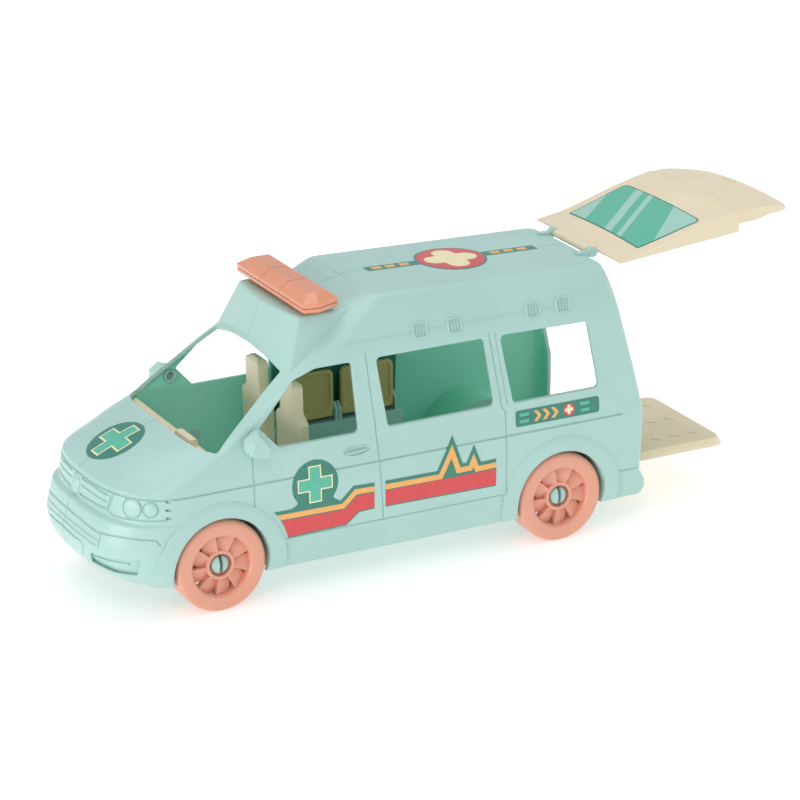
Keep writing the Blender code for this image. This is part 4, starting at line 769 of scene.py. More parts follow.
def calmed(track, closed, rounds=2):
    """The same track with each direction evened out between its neighbours."""
    count = len(track)
    for turn in range(rounds):
        directions = []
        for i, (place, normal) in enumerate(track):
            total = normal.copy()
            for j in (i - 1, i + 1):
                if closed or 0 <= j < count:
                    total += track[j % count][1]
            directions.append(total.normalized())
        track = [(place, way) for (place, normal), way in zip(track, directions)]
    return track


def sweep(name, track, section, closed=False, ends=1.0):
    """Solid bar along a track: section holds (across, outwards) points."""
    track = calmed(track, closed)
    loops = []
    count = len(track)
    for i, (place, normal) in enumerate(track):
        after = track[(i + 1) % count][0] if closed or i + 1 < count else place
        before = track[i - 1][0] if closed or i > 0 else place
        side = (after - before).cross(normal).normalized()
        out = side.cross(after - before).normalized()
        wide = ends if not closed and i in (0, count - 1) else 1.0
        loops.append([place + side * a * wide + out * b for a, b in section])
    return stacked(name, loops, closed)


def facing(half_section):
    """Section on both sides of its middle, from its points on the negative side."""
    return half_section + [(-a, b) for a, b in reversed(half_section) if a < 0]


def groove(width, depth):
    """Section of an engraved line, with a rounded bottom and slightly open lips."""
    half, deep = width * MM / 2, depth * MM
    return facing([(-half - .22 * MM, .3 * MM), (-half - .12 * MM, 0), (-half * .82, -deep * .45),
                   (-half * .4, -deep)])


def bead(width, height):
    """Section of a raised line with a rounded top, rooted in the surface."""
    half, high = width * MM / 2, height * MM
    return facing([(-half, -.4 * MM), (-half, high * .45), (-half * .55, high * .9), (0, high)])


def engrave(body, view, *lines, size=SHUT_LINE):
    """Cut lines into the body along outlines in millimetres, and their mirror images."""
    for line in lines:
        groove_along(body, view, drawn(view, *line), size)


def groove_along(body, view, outline, size, closed=False):
    """Cut one line into the body along an outline, and its mirror image."""
    outer, surface = body
    track = trace(surface, view, outline, closed=closed)
    both_sides(outer, sweep("line", track, groove(*size), closed, .55), "DIFFERENCE")


def emboss(body, view, outline, size, closed=False, spacing=LINE_SPACING):
    """Raise a bead on the body along an outline, and its mirror image."""
    outer, surface = body
    track = trace(surface, view, outline, spacing, closed)
    both_sides(outer, sweep("bead", track, bead(*size), closed, .7), "UNION")


def stamp(name, view, outline, low, high):
    """Prism of an outline drawn in a view, from low to high along the way that it looks."""
    across, up, way, origin = VIEWS[view]
    return stacked(name, [[across * a + up * b + way * depth for a, b in outline]
                          for depth in (low, high)])


def dome(place, normal, *radii):
    """Ellipsoid whose middle lies at a place, with its short axis along a direction."""
    bm = bmesh.new()
    bmesh.ops.create_uvsphere(bm, u_segments=48, v_segments=24, radius=1.0)
    level = Vector((0, 0, 1)).cross(normal).normalized()
    frame_of = Matrix((level, normal.cross(level), normal)).transposed().to_4x4()
    bm.transform(Matrix.Translation(place) @ frame_of @ Matrix.Diagonal((*mm(*radii), 1)))
    return new_object("dome", bm)


def dome_on(surface, view, point, *radii):
    """Ellipsoid centred on a surface, at a point of a view."""
    return dome(*place_on(surface, view, point), *radii)


def level_track(surface, height, end_x):
    """Track round the nose at one level of the body, from one side to the other."""
    middle, sides = middle_rings(), middle_rings() + upper_rings()[1:]
    half = [p for p in half_ring(ring_run(middle, sides)(height), FINE_STEPS) if p.x < end_x]
    half.append(Vector((end_x, half[-1].y, half[-1].z)))
    points = [Vector((p.x, -p.y, p.z)) for p in reversed(half)] + half[1:]
    return [surface.find_nearest(point)[:2] for point in resampled(points, 2 * MM)]


def door_lines(body):
    """Line under the windows, shut lines of the doors, and the lower crease."""
    outer, surface = body
    belt = level_track(surface, BELT_HEIGHT, along_van(135))
    cut(outer, sweep("belt", belt, groove(.9, .7), ends=.5))
    engrave(body, "side", [(-80.3, 81), (-80.3, 54)], [(-13.4, 122.5), (-9.4, 65), (-7.3, 32.5)],
            [(58, 121.8), (62.8, 81.7), (64.8, 79.6), (64.9, 33.4)])
    engrave(body, "side", [(61.4, 121.4), (66.2, 82.6)], size=THIN_LINE)
    crease = CREASE_HEIGHT / MM + .6
    reach = FLARE_RADIUS / MM + 1
    axle = (REAR_AXLE_X - MIDDLE_X) / MM
    engrave(body, "side", [(reach - axle, crease), (axle - reach, crease)],
            [(axle + reach, crease), (axle + 50, crease)])


def door_handles(body):
    """Oval recess with a bar across its lower half in each front door."""
    outer, surface = body
    centre, *bar = drawn("side", (-22.2, 73.7), (-28.8, 72.2), (-22.2, 72.7), (-15.8, 73.1))
    both_sides(outer, dome_on(surface, "side", centre, 7.6, 2.7, 1.25), "DIFFERENCE")
    section = facing(places((-.8, -1.3), (-.75, -.1), (-.35, .35)))
    both_sides(outer, sweep("handle", trace(surface, "side", bar), section, ends=.6), "UNION")


def roof_vents(body):
    """Four small ribbed vents in a thin raised line above the windows."""
    emboss(body, "side", drawn("side", (-24, 128.4), (104, 129.2)), (.8, .32), spacing=4 * MM)
    wide, high = 7.6 / 2, 7.2 / 2
    for x, z in ((18.7, 129.2), (38.9, 128.5), (85.3, 129.3), (103.1, 129.3)):
        emboss(body, "side", boxed("side", x - wide, x + wide, z - high, z + high, 1.2, 3),
               (1.1, .75), closed=True)
        for rib in (x - 1.75, x, x + 1.75):
            emboss(body, "side", drawn("side", (rib, z - 3.2), (rib, z + 3.2)), (.8, .6))


def grille(body):
    """Slots and bars of the grille, with a plain domed boss in the middle."""
    outer, surface = body
    for size, line in (((1.2, .8), [(-6, 66.1), (-16.6, 66.3), (-24, 65.5), (-32, 64.9)]),
                       ((.9, .6), [(-6.5, 62.6), (-16.6, 62.5), (-31, 61.4)]),
                       ((1.2, .8), [(-5.2, 57.7), (-17, 58), (-31, 58.0)]),
                       (SHUT_LINE, [(-33.4, 65.4), (-31.8, 57.6)])):
        engrave(body, "nose", line, size=size)
    place, normal = place_on(surface, "nose", (0.0, 61.3 * MM))
    ahead = Vector((-1, 0, .12)).normalized()
    fuse(outer, dome(place - ahead * .2 * MM, ahead, 4.9, 5.9, 2.3))


def headlights(body):
    """Lamp panel round each front corner, with two domed lamps and three end slots."""
    outer, surface = body
    engrave(body, "corner", [(-79.8, 66.2), (-83.4, 57), (-79.5, 55.6), (-51, 55.4)])
    for s, z, radius in ((-68.7, 61.3, 4.7), (-59.1, 61.2, 3.4)):
        centre = drawn("corner", (s, z))[0]
        both_sides(outer, dome_on(surface, "corner", centre, radius, radius, .85), "UNION")
        rim = (radius + .5) * MM
        groove_along(body, "corner", oval(centre, rim, rim, 40), (.55, .45), True)
    for z in (64.9, 60.6, 56.3):
        middle = drawn("corner", (-50.7, z))[0]
        level = place_on(surface, "corner", middle)[0].dot(VIEWS["corner"][2])
        slot = boxed("corner", -52.2, -49.2, z - .65, z + .65, .5, 3)
        both_sides(outer, stamp("slot", "corner", slot, level - 6 * MM, level + 1 * MM),
                   "DIFFERENCE")


def bumper(body):
    """Lines and recesses of the front bumper."""
    outer, surface = body
    for view, size, line in (
            ("nose", (.9, .65), [(2, 49.1), (-1, 49.1), (-17.7, 48.8), (-33.5, 46.6)]),
            ("corner", (.9, .65), [(-88.2, 46.8), (-80, 46.9), (-73.4, 47), (-59.8, 45.9),
                                   (-56, 45.1), (-54.4, 42.2)]),
            ("nose", THIN_LINE, [(2, 44.9), (-2.5, 44.9), (-19.2, 44.8), (-33.8, 42.9)]),
            ("nose", THIN_LINE, [(2, 42.6), (-7.3, 42.6), (-22, 41.8), (-33.5, 40)]),
            ("nose", SHUT_LINE, [(-34.7, 46.2), (-34.7, 38.9)]),
            ("nose", (.9, .7), [(2, 39.8), (-20.6, 38.7), (-22.6, 37.2), (-21.6, 33.8),
                                (-19.1, 30.3)])):
        engrave(body, view, line, size=size)
    fog = rounded(drawn("corner", (-92.5, 34.4), (-93.2, 28.2), (-80, 24.8), (-67.2, 25.3),
                        (-63.6, 34.9)), mm(1.2, .8, 4, 1, 1.2), 4)
    middle = drawn("corner", (-79, 30))[0]
    level = place_on(surface, "corner", middle)[0].dot(VIEWS["corner"][2])
    tool = stamp("fog", "corner", fog, level - 20 * MM, level + 14 * MM)
    cut(tool, body_solid("fog_floor", 1.7 * MM))
    both_sides(outer, tool, "DIFFERENCE")
    bar = trace(surface, "corner", drawn("corner", (-91, 31.6), (-70.5, 31.2)))
    section = facing(places((-.7, -2.2), (-.6, -1.0), (0, -.75)))
    both_sides(outer, sweep("fog_bar", bar, section), "UNION")


def pillar_x(height):
    """x of the slanted pillar's rear edge, in front of the door window, at a height."""
    return nose(87.2) + height - GLASS_HEIGHT - 10.1 * MM


def mirror_plug_place():
    """x and z of the mirror's plug, between the door window and the windscreen."""
    height = WINDOW_BASE + 7.6 * MM
    return pillar_x(height) + .5 * MM, height


def window_outlines():
    """Outlines in x and z of the windows in the sides, with the sides that they are in."""
    base, top = WINDOW_BASE, WINDOW_TOP
    shoulder, elbow = top - 4.8 * MM, base + 11.3 * MM
    front = [(pillar_x(elbow) + 10.1 * MM, base), (nose(142.1), base), (nose(141), top),
             (pillar_x(shoulder) + 12.5 * MM, top), (pillar_x(shoulder), shoulder),
             (pillar_x(elbow), elbow)]
    middle = [(nose(159), base), (nose(221), base + .6 * MM), (nose(217.4), top), (nose(154.9), top)]
    rear = [(REAR_AXLE_X - 28.8 * MM, base), (REAR_AXLE_X + 22.9 * MM, base),
            (REAR_AXLE_X + 18.2 * MM, top - .8 * MM), (REAR_AXLE_X - 34.1 * MM, top)]
    corner = WINDOW_CORNER
    yield rounded(front, [.8 * MM, corner, corner, 9 * MM, 9 * MM, 1.2 * MM], 8), (-1, 1)
    yield rounded(middle, corner, 8), (-1,)
    yield rounded(rear, corner, 8), (-1,)


def windscreen_cutter():
    """Prism square to the windscreen's slope, with the outline of its opening."""
    foot = Vector((NOSE_X + SCREEN_FOOT[0], 0, GLASS_HEIGHT + SCREEN_FOOT[1]))
    top = Vector((NOSE_X + SCREEN_TOP[0], 0, GLASS_HEIGHT + SCREEN_TOP[1]))
    up = (top - foot).normalized()
    out = Vector((-up.z, 0, up.x))
    length = (top - foot).length
    low_half, high_half = HALF_WIDTH - 3.9 * MM, HALF_WIDTH - 16.4 * MM
    drop = flowing([0, low_half * .5, low_half * .84, low_half], mm(.3, .6, 2.6, 7))
    half = [(low_half * k / 12, drop(low_half * k / 12)) for k in range(13)]
    half += [(high_half, length - 2.4 * MM), (high_half * .5, length - .6 * MM), (0, length)]
    outline = rounded(mirrored(half), 1.4 * MM, 3)
    return stacked("windscreen_cutter", [
        [foot + up * s + Vector((0, y, 0)) + out * depth for y, s in outline]
        for depth in (-14 * MM, 12 * MM)])


def screw_places():
    """x, y and direction to the nearest wall of each chassis screw."""
    for sign in (-1, 1):
        yield nose(24.5), 18 * MM * sign, (-1, 0)
        yield MIDDLE_X, HALF_WIDTH * sign - 10 * MM * sign, (0, sign)
        yield RAMP_AXIS[0] - 14 * MM, 30 * MM * sign, (1, 0)


def peg_places():
    """x and y of the pegs that hold the light bar to the step, one in each body half."""
    return [(BAR_FRONT_X + BAR_DEPTH * .42, 22 * MM * sign) for sign in (-1, 1)]


def about_axle(name, x, sign, profile, sides=96):
    """Solid turned about a wheel's axle, from (radius, y) pairs on the positive side."""
    return spindle(name, [(r, y * sign) for r, y in profile], (x, AXLE_Z), "Y", sides)


def flare(x, sign):
    """Raised band round a wheel arch, softly rounded towards its outer edge."""
    face = HALF_WIDTH + FLARE_RISE
    profile = [(FLARE_RADIUS + 1.2 * MM, HALF_WIDTH - 14 * MM),
               *places((1.2, -1.3), (.5, -.75), (-.6, -.3), (-2.2, 0), x=FLARE_RADIUS, y=face)]
    made = about_axle("flare", x, sign, profile)
    return cut(made, block("below", (-FAR, -FAR, -FAR), (FAR, FAR, SILL_HEIGHT + .2 * MM)))


def arch_cutter(x, sign):
    """Opening for a wheel, with a rounded lip."""
    face = HALF_WIDTH + FLARE_RISE
    profile = [(ARCH_RADIUS, WELL_END_Y + WELL_WALL),
               *places((0, -1), (.25, -.45), (.9, .1), x=ARCH_RADIUS, y=face),
               (ARCH_RADIUS + .9 * MM, FAR)]
    return about_axle("arch", x, sign, profile)


def fittings(limit):
    """Wheel wells, screw bosses and their webs, trimmed to the body's outside."""
    made = []
    foot = CHASSIS_TOP + SEAM_GAP
    for place, x, sign in axles():
        low, high = span(sign, WELL_END_Y, HALF_WIDTH - 1.2 * MM)
        made.append(rod("well", "Y", (x, AXLE_Z), WELL_RADIUS, low, high, 72))
    reach, half = 25 * MM, 1 * MM
    for x, y, (to_x, to_y) in screw_places():
        made.append(rod("boss", "Z", (x, y), BOSS_RADIUS, foot, BOSS_TOP, 32))
        ends_x = sorted((x, x + to_x * reach))
        ends_y = sorted((y, y + to_y * reach))
        made.append(block("web", (ends_x[0] - half, ends_y[0] - half, foot),
                          (ends_x[1] + half, ends_y[1] + half, RAMP_UNDERSIDE - 1.2 * MM)))
    for piece in made:
        cut(piece, block("below", (-FAR, -FAR, -FAR), (FAR, FAR, foot)))
        keep_inside(piece, limit, keep_tool=True)
    return made


def lugs(shell):
    """Ears on the body that the tailgate's and the ramp's hinge pins turn in."""
    gate_x, gate_z = TAILGATE_AXIS
    ramp_z = RAMP_AXIS[1]
    # Axis, where the ear begins, its width, its hole's depth, its radius, and its root's corners
    rows = ((TAILGATE_AXIS, TAILGATE_HINGE_HALF_LENGTH, 4.6, 3.4, TAILGATE_HINGE_RADIUS + .2 * MM,
             (gate_x - 9 * MM, gate_z - 2.3 * MM), (gate_x, gate_z + .6 * MM)),
            (RAMP_AXIS, RAMP_HALF_WIDTH, 4.4, 3.2, 2.7 * MM,
             (FLOOR_END + SEAM_GAP, ramp_z - 6 * MM), (TAIL_X - .5 * MM, ramp_z)))
    for sign in (-1, 1):
        for axis, half, wide, deep, radius, (low_x, low_z), (high_x, high_z) in rows:
            inner = half + RUNNING_GAP
            low, high = span(sign, inner, inner + wide * MM)
            ear = rod("ear", "Y", axis, radius, low, high)
            fuse(ear, block("root", (low_x, low + .2 * MM, low_z), (high_x, high - .2 * MM, high_z)))
            fuse(shell, ear)
            cut(shell, rod("eye", "Y", axis, HINGE_PIN_RADIUS + PIN_GAP,
                           *span(sign, inner - 1 * MM, inner + deep * MM)))


def openings(outer, surface):
    """Cut arches, windows, doorway, slot and screw holes, with softened window edges."""
    for place, x, sign in axles():
        cut(outer, arch_cutter(x, sign))
    bevel = places((-.45, 0), (0, -.45), (.45, 0), (0, .45))
    for outline, signs in window_outlines():
        edge = sweep("edge", trace(surface, "side", outline, 1.0 * MM, True), bevel, True)
        for sign in signs:
            low, high = span(sign, HALF_WIDTH / 2, FAR)
            cut(outer, prism("window", outline, "Y", low, high))
            cut(outer, duplicate(edge, "edge_cut") if sign < 0 else reflected(edge, "edge_cut"))
        discard(edge)
    for sign in (-1, 1):
        cut(outer, rod("mirror_hole", "Y", mirror_plug_place(), MIRROR_PLUG_RADIUS + SEAM_GAP,
                       *span(sign, HALF_WIDTH / 2, FAR)))
    cut(outer, windscreen_cutter())
    nest = TAILGATE_HALF_WIDTH + TAILGATE_BULGE + RUNNING_GAP
    doorway = rounded(mirrored([(nest - 1.5 * MM, FLOOR_HEIGHT + SEAM_GAP), (nest, BELT_HEIGHT),
                                (nest, DOORWAY_SHOULDER), (DOORWAY_TOP_HALF_WIDTH, DOORWAY_TOP)]),
                      3 * MM)
    cut(outer, prism("doorway", doorway, "X", TAIL_EDGE_TOP_X - 8 * MM, TAIL_X + 20 * MM))
    slot = RAMP_HALF_WIDTH + RUNNING_GAP
    cut(outer, block("ramp_slot", (RAMP_AXIS[0] - 3.4 * MM, -slot, RAMP_UNDERSIDE - SEAM_GAP),
                     (TAIL_X + 20 * MM, slot, FLOOR_HEIGHT + 3 * MM)))
    for x, y, way in screw_places():
        cut(outer, rod("pilot", "Z", (x, y), SCREW_RADIUS + PIN_GAP, 0, BOSS_TOP - 1.2 * MM, 16))
    for place in peg_places():
        cut(outer, rod("peg_hole", "Z", place, PEG_RADIUS + PIN_GAP, STEP_TOP - 2 * WALL,
                       STEP_TOP + WALL, 24))


def paint_inside_bounce_light(shell, surface, hollow):
    """Painted bounce light: a brighter, greener copy of the mint plastic on the faces that look into
    the cabin.
    """
    shell.data.materials.append(MINT_PAINTED_BOUNCE[0])
    for face in shell.data.polygons:
        place = face.center
        nearest, normal, number, depth = surface.find_nearest(place)
        outside = (place - nearest).dot(normal) > 0
        in_well = abs(place.y) > WELL_END_Y - .3 * MM and any(
            math.hypot(place.x - x, place.z - AXLE_Z) < WELL_RADIUS - .5 * MM
            for x in (FRONT_AXLE_X, REAR_AXLE_X))
        if outside or in_well or depth < WALL * .6:
            continue
        if depth > 3 * MM or hollow.find_nearest(place)[3] < .1 * MM:
            face.material_index = 1


def body_shells():
    """Both body halves with all their engraved and raised detail."""
    outer = fuse(body_solid("outer"), lamp_step("step"))
    limit = duplicate(outer, "limit")
    for place, x, sign in axles():
        fuse(outer, keep_inside(flare(x, sign), body_solid("flare_limit", -FLARE_RISE)))
    surface = surface_of(outer)

    hollow = body_solid("hollow", WALL, foot=SILL_HEIGHT - 20 * MM, plain=True)
    fuse(hollow, lamp_step("hollow_step", WALL))
    cavity = surface_of(hollow)
    cut(outer, hollow)
    fuse(outer, *fittings(limit))
    discard(limit)
    lugs(outer)
    for details in (door_lines, door_handles, roof_vents, grille, headlights, bumper):
        details((outer, surface))
    openings(outer, surface)

    for side, sign in (("left", -1), ("right", 1)):
        half = duplicate(outer, f"body_{side}")
        low, high = span(sign, SEAM_GAP / 2, FAR)
        keep_inside(half, block("side", (-FAR, low, -FAR), (FAR, high, FAR)))
        stand_for(smooth(half), f"body_shell_{side}", MINT)
        # Inner faces get a brighter, greener copy of the mint: painted bounce light.
        paint_inside_bounce_light(half, surface, cavity)
    discard(outer)


def chassis():
    """Tray under the body, with a bracket and a split snap pin for each wheel."""
    tray = block("chassis", (-FAR, -FAR, CHASSIS_BASE), (FAR, FAR, CHASSIS_TOP))
    cut(tray, block("tail", (TAIL_X - WALL - 1.5 * MM, -FAR, 0), (FAR, FAR, FAR)))
    half = ARCH_RADIUS + RUNNING_GAP
    for place, x, sign in axles():
        low, high = span(sign, WHEEL_BACK_Y - RUNNING_GAP - 1 * MM, FAR)
        cut(tray, block("notch", (x - half, low, -FAR), (x + half, high, FAR)))
    keep_inside(tray, inner_form())
    for x, y, way in screw_places():
        cut(tray, screw_seat(x, y))
    for place, x, sign in axles():
        fuse(tray, wheel_mount(x, sign))
    post_radius, post_y = mm(2.6, 20)
    for x in (nose(74), MIDDLE_X, TAIL_X - 55 * MM):
        for y in (-post_y, post_y):
            fuse(tray, rod("post", "Z", (x, y), post_radius, CHASSIS_TOP - 1 * MM, BOSS_TOP))
    return smooth(tray)


def screw_seat(x, y):
    """Cutting tool for a screw's hole in the tray, with a cone for its sunk head."""
    slope = (SCREW_HEAD_RADIUS - SCREW_RADIUS) / SCREW_HEAD_HEIGHT
    mouth = SCREW_HEAD_RADIUS + PIN_GAP + .1 * MM
    shank = SCREW_RADIUS + PIN_GAP
    low = CHASSIS_BASE - 1 * MM
    profile = [(mouth + slope * (SCREW_FOOT - low), low),
               (shank, SCREW_FOOT + (mouth - shank) / slope), (shank, CHASSIS_TOP + 1 * MM)]
    return spindle("seat", profile, (x, y), "Z")


def wheel_mount(x, sign):
    """Upright bracket with a shoulder and the round-headed split pin for a wheel."""
    outline = places((-11, 0), (11, 0), x=x, y=CHASSIS_TOP - 1 * MM)
    head, steps = 7.5 * MM, 16
    for i in range(steps + 1):
        angle = math.pi * i / steps
        outline.append((x + head * math.cos(angle), AXLE_Z + head * math.sin(angle)))
    near, far = span(sign, BRACKET_FACE_Y - BRACKET_THICKNESS, BRACKET_FACE_Y)
    mount = softened(prism("mount", outline, "Y", near, far), .4 * MM)
    shoulder, catch = PIN_RADIUS + 2 * MM, PIN_RADIUS + 1.1 * MM
    shoulder_y, lock_y = WHEEL_BACK_Y - RUNNING_GAP, HUB_LOCK_Y + RUNNING_GAP
    head_y, tip_y = lock_y + .6 * MM, WHEEL_FACE_Y - 1 * MM
    profile = [(shoulder, BRACKET_FACE_Y - 1 * MM), (shoulder, shoulder_y),
               (PIN_RADIUS, shoulder_y), (PIN_RADIUS, lock_y), (catch, head_y)]
    for k in range(1, 8):
        turn = math.radians(90 * k / 8)
        profile.append((catch * math.cos(turn), head_y + (tip_y - head_y) * math.sin(turn)))
    pin = about_axle("pin", x, sign, profile, 48)
    near, far = span(sign, shoulder_y + 1 * MM, FAR)
    cut(pin, block("slit", (x - PIN_SLIT / 2, near, 0), (x + PIN_SLIT / 2, far, 2 * AXLE_Z)))
    return fuse(mount, pin)


def blade(number):
    """Turbine blade from hub to rim: tilted face, level back, one outer corner cut away."""
    pitch = 2 * math.pi / BLADE_COUNT
    middle = pitch * number
    start = middle - pitch / 2 - .02
    high = WHEEL_FACE_Y - BLADE_FACE_DEPTH + BLADE_LIFT
    deep = WHEEL_FACE_Y - BLADE_FACE_DEPTH - BLADE_LIFT
    back = deep - 1.3 * MM
    loops = []
    for radius, gap in ((7.3 * MM, 0.0), (11.6 * MM, .15 * MM), (17.4 * MM, BLADE_GAP * 1.25)):
        end = middle + pitch / 2 - gap / radius
        loops.append([(radius * math.cos(angle), y, radius * math.sin(angle))
                      for angle, y in ((start, high), (end, deep), (end, back), (start, back))])
    return stacked("blade", loops)


def wheel_pattern():
    """Wheel about the Y axis: flat-faced tyre ring, hub and nine blades."""
    face, back = WHEEL_FACE_Y, WHEEL_BACK_Y
    tyre = rounded([(RIM_RADIUS, back), (WHEEL_RADIUS, back), (WHEEL_RADIUS, face),
                    *places((1.25, 0), (.75, -.35), (0, -1.5), x=RIM_RADIUS, y=face)],
                   mm(.6, 1.6, 2.3, .3, .3, .5), 4)
    bore = PIN_RADIUS + RUNNING_GAP
    hub = rounded([(bore, back), (HUB_RADIUS, back), (HUB_RADIUS, face - 2 * MM),
                   (HUB_MOUTH_RADIUS, face - 2 * MM), (HUB_MOUTH_RADIUS, HUB_LOCK_Y),
                   (bore, HUB_LOCK_Y)], mm(.4, .4, .8, .5, 0, .3), 4)
    made = turned("hub", hub, 72)
    for number in range(BLADE_COUNT):
        fuse(made, blade(number))
    return fuse(turned("wheel", tyre, 120), made)


def wheels():
    """The four wheels, from one pattern and its mirror image."""
    pattern = smooth(wheel_pattern())
    for place, x, sign in axles():
        name = f"turbine_wheel_{place}"
        item = duplicate(pattern, name) if sign > 0 else reflected(pattern, name)
        item.data.transform(Matrix.Translation((x, 0, AXLE_Z)))
        stand_for(item, f"wheel_{place}", SALMON, f"{place}_wheel_body")
    discard(pattern)


def bar_outline(grow=0.0):
    """Plan of the light bar: straight front, and ends that draw in towards the back."""
    front = BAR_FRONT_X - grow
    back = front + BAR_DEPTH + 2 * grow
    half = BAR_HALF_LENGTH + grow
    side = [(back, half - 5 * MM), (front + 8 * MM, half), (front, half - 2 * MM)]
    return [(x, -y) for x, y in reversed(side)] + side


def light_bar():
    """Base plate with its foot and two pegs, and the faceted cover with a bead along its foot."""
    foot = STEP_TOP + SEAM_GAP
    plate = foot + BAR_FOOT_HEIGHT - .5 * MM
    joint = foot + BAR_BASE_HEIGHT
    band = joint + BAR_BAND_HEIGHT
    crest = foot + BAR_HEIGHT
    base = lofted("bar_base", [(bar_outline(-.6 * MM), plate), (bar_outline(), plate + .6 * MM),
                               (bar_outline(), joint)])
    softened(base, .22 * MM, angle=20)
    half = STEP_HALF_WIDTH - BAR_FOOT_INSET
    stand = block("foot", (BAR_FRONT_X + BAR_FOOT_INSET, -half, foot),
                  (BAR_FRONT_X + BAR_DEPTH - BAR_FOOT_INSET, half, plate + .5 * MM))
    fuse(base, softened(stand, .2 * MM))
    for place in peg_places():
        fuse(base, rod("peg", "Z", place, PEG_RADIUS, foot - WALL - 1.6 * MM, foot + 1 * MM))
    top = []
    for x, y in bar_outline():
        share = (x - BAR_FRONT_X) / BAR_DEPTH
        top.append((BAR_FRONT_X + BAR_SLOPE + share * BAR_TOP_DEPTH,
                    math.copysign(BAR_TOP_HALF_LENGTH, y)))
    cover = lofted("bar_cover", [(bar_outline(), joint + SEAM_GAP), (bar_outline(.2 * MM), band),
                                 (top, crest)])
    softened(cover, .3 * MM, 4, angle=12)
    inner, inner_top = bar_outline(-.25 * MM), [(a, b * .98) for a, b in top]
    seam_y, half_seam = mm(11.5, .25)
    for y in (-seam_y, seam_y):
        line = block("line", (-FAR, y - half_seam, joint - .1 * MM), (FAR, y + half_seam, FAR))
        cut(line, lofted("core", [(inner, joint - .3 * MM), (inner, band - .1 * MM),
                                  (inner_top, crest - .4 * MM)]))
        cut(cover, line)
    stand_for(smooth(base), "light_bar_base", LAMP_PAINTED_SHADE)
    stand_for(smooth(cover), "light_bar_cover", LAMP_PAINTED_SHADE)


def tailgate_rise():
    """Function that gives the open tailgate's height over its axis at a distance from it."""
    window, lower = TAILGATE_WINDOW_LENGTH, TAILGATE_LOWER_LENGTH
    knots = [3.6 * MM, 8 * MM, 18.5 * MM, between(18.5 * MM, window, .65), window - 6 * MM, window]
    knots += [window + lower * share for share in (.22, .5, .8, .95, 1)]
    return flowing(knots, mm(.7, 2.0, 4.2, 14.6, 17.8, 18.8, 19.2, 18.2, 16.2, 14.9, 14.3))


def tailgate_half_width(distance):
    window, half = TAILGATE_WINDOW_LENGTH, TAILGATE_HALF_WIDTH
    if distance <= window:
        return half + TAILGATE_BULGE * min(1.0, max(0.0, distance / window * 1.35 - .25))
    waist = flowing([0, .22, .5, .8, .95, 1], mm(0, .6, 2.5, 4.7, 7.6, 12.1))
    return half - waist((distance - window) / TAILGATE_LOWER_LENGTH)


def tailgate_edge(distance):
    """Height of the lower edge of the side flange above the axis."""
    window = TAILGATE_WINDOW_LENGTH
    if distance <= window:
        return between(-1.0 * MM, 6.4 * MM, distance / window)
    edge = flowing([0, .36, .44, .56, 1], mm(10.6, 10.7, 11.0, 12.0, 11.9))
    return edge((distance - window) / TAILGATE_LOWER_LENGTH)


def crowned(half, top, foot, radius, steps=12):
    """Section across the tailgate: crowned top, rounded shoulders and straight sides."""
    crown = min(TAILGATE_CROWN, (top - foot) * .5)
    radius = min(radius, (top - crown - foot) * .7)
    flat = half - radius

    def height(y):
        return top - crown * (y / half) ** 2

    points = [(half, foot)]
    for k in range(6):
        turn = math.radians(90 * k / 6)
        points.append((flat + radius * math.cos(turn),
                       height(flat) - radius + radius * math.sin(turn)))
    points += [(flat * (1 - k / steps), height(flat * (1 - k / steps))) for k in range(steps + 1)]
    return mirrored(points)


def tailgate_stations():
    """Distances from the hinge axis at which the tailgate is built, with its edge's step."""
    window, lower = TAILGATE_WINDOW_LENGTH, TAILGATE_LOWER_LENGTH
    return ([between(3.6 * MM, window, k / 24) for k in range(25)]
            + [between(window + .3 * MM, window + lower, k / 16) for k in range(17)])


def tailgate_form(name, stations, grow, foot_at, radius):
    """Solid through the tailgate's sections, moved outwards, with a foot for each distance."""
    axis_x, axis_z = TAILGATE_AXIS
    rise = tailgate_rise()
    loops = []
    for distance in stations:
        section = crowned(tailgate_half_width(distance) + grow, rise(distance) + grow,
                          foot_at(distance), radius)
        loops.append([(axis_x + distance, y, axis_z + z) for y, z in section])
    return stacked(name, loops)


def tailgate_solid(name, grow=0.0, deeper=0.0):
    """Outer form of the tailgate, moved outwards by a distance, and reaching lower if wanted."""
    return tailgate_form(name, tailgate_stations(), grow,
                         lambda distance: tailgate_edge(distance) - deeper, 1.3 * MM)


def tailgate():
    """Crowned skin with side flanges, hollow below, a grip hollow, and its hinge."""
    axis_x, axis_z = TAILGATE_AXIS
    gate = tailgate_solid("tailgate_door")
    surface = surface_of(gate)
    cut(gate, tailgate_form("hollow", tailgate_stations()[2:-1], -TAILGATE_WALL,
                            lambda distance: -12 * MM, 1 * MM))
    half = TAILGATE_HINGE_HALF_LENGTH
    barrel = rod("barrel", "Y", TAILGATE_AXIS, TAILGATE_HINGE_RADIUS, -half, half)
    arm_half = half - .4 * MM
    fuse(barrel, block("arm", (axis_x, -arm_half, axis_z - 1.2 * MM),
                       (axis_x + 9 * MM, arm_half, axis_z + 1.3 * MM)))
    for sign in (-1, 1):
        low, high = span(sign, half - 1 * MM, half + RUNNING_GAP + 3 * MM)
        fuse(barrel, rod("pin", "Y", TAILGATE_AXIS, HINGE_PIN_RADIUS, low, high, 24))
    fuse(gate, barrel)
    tailgate_details(gate, surface)
    return smooth(gate)


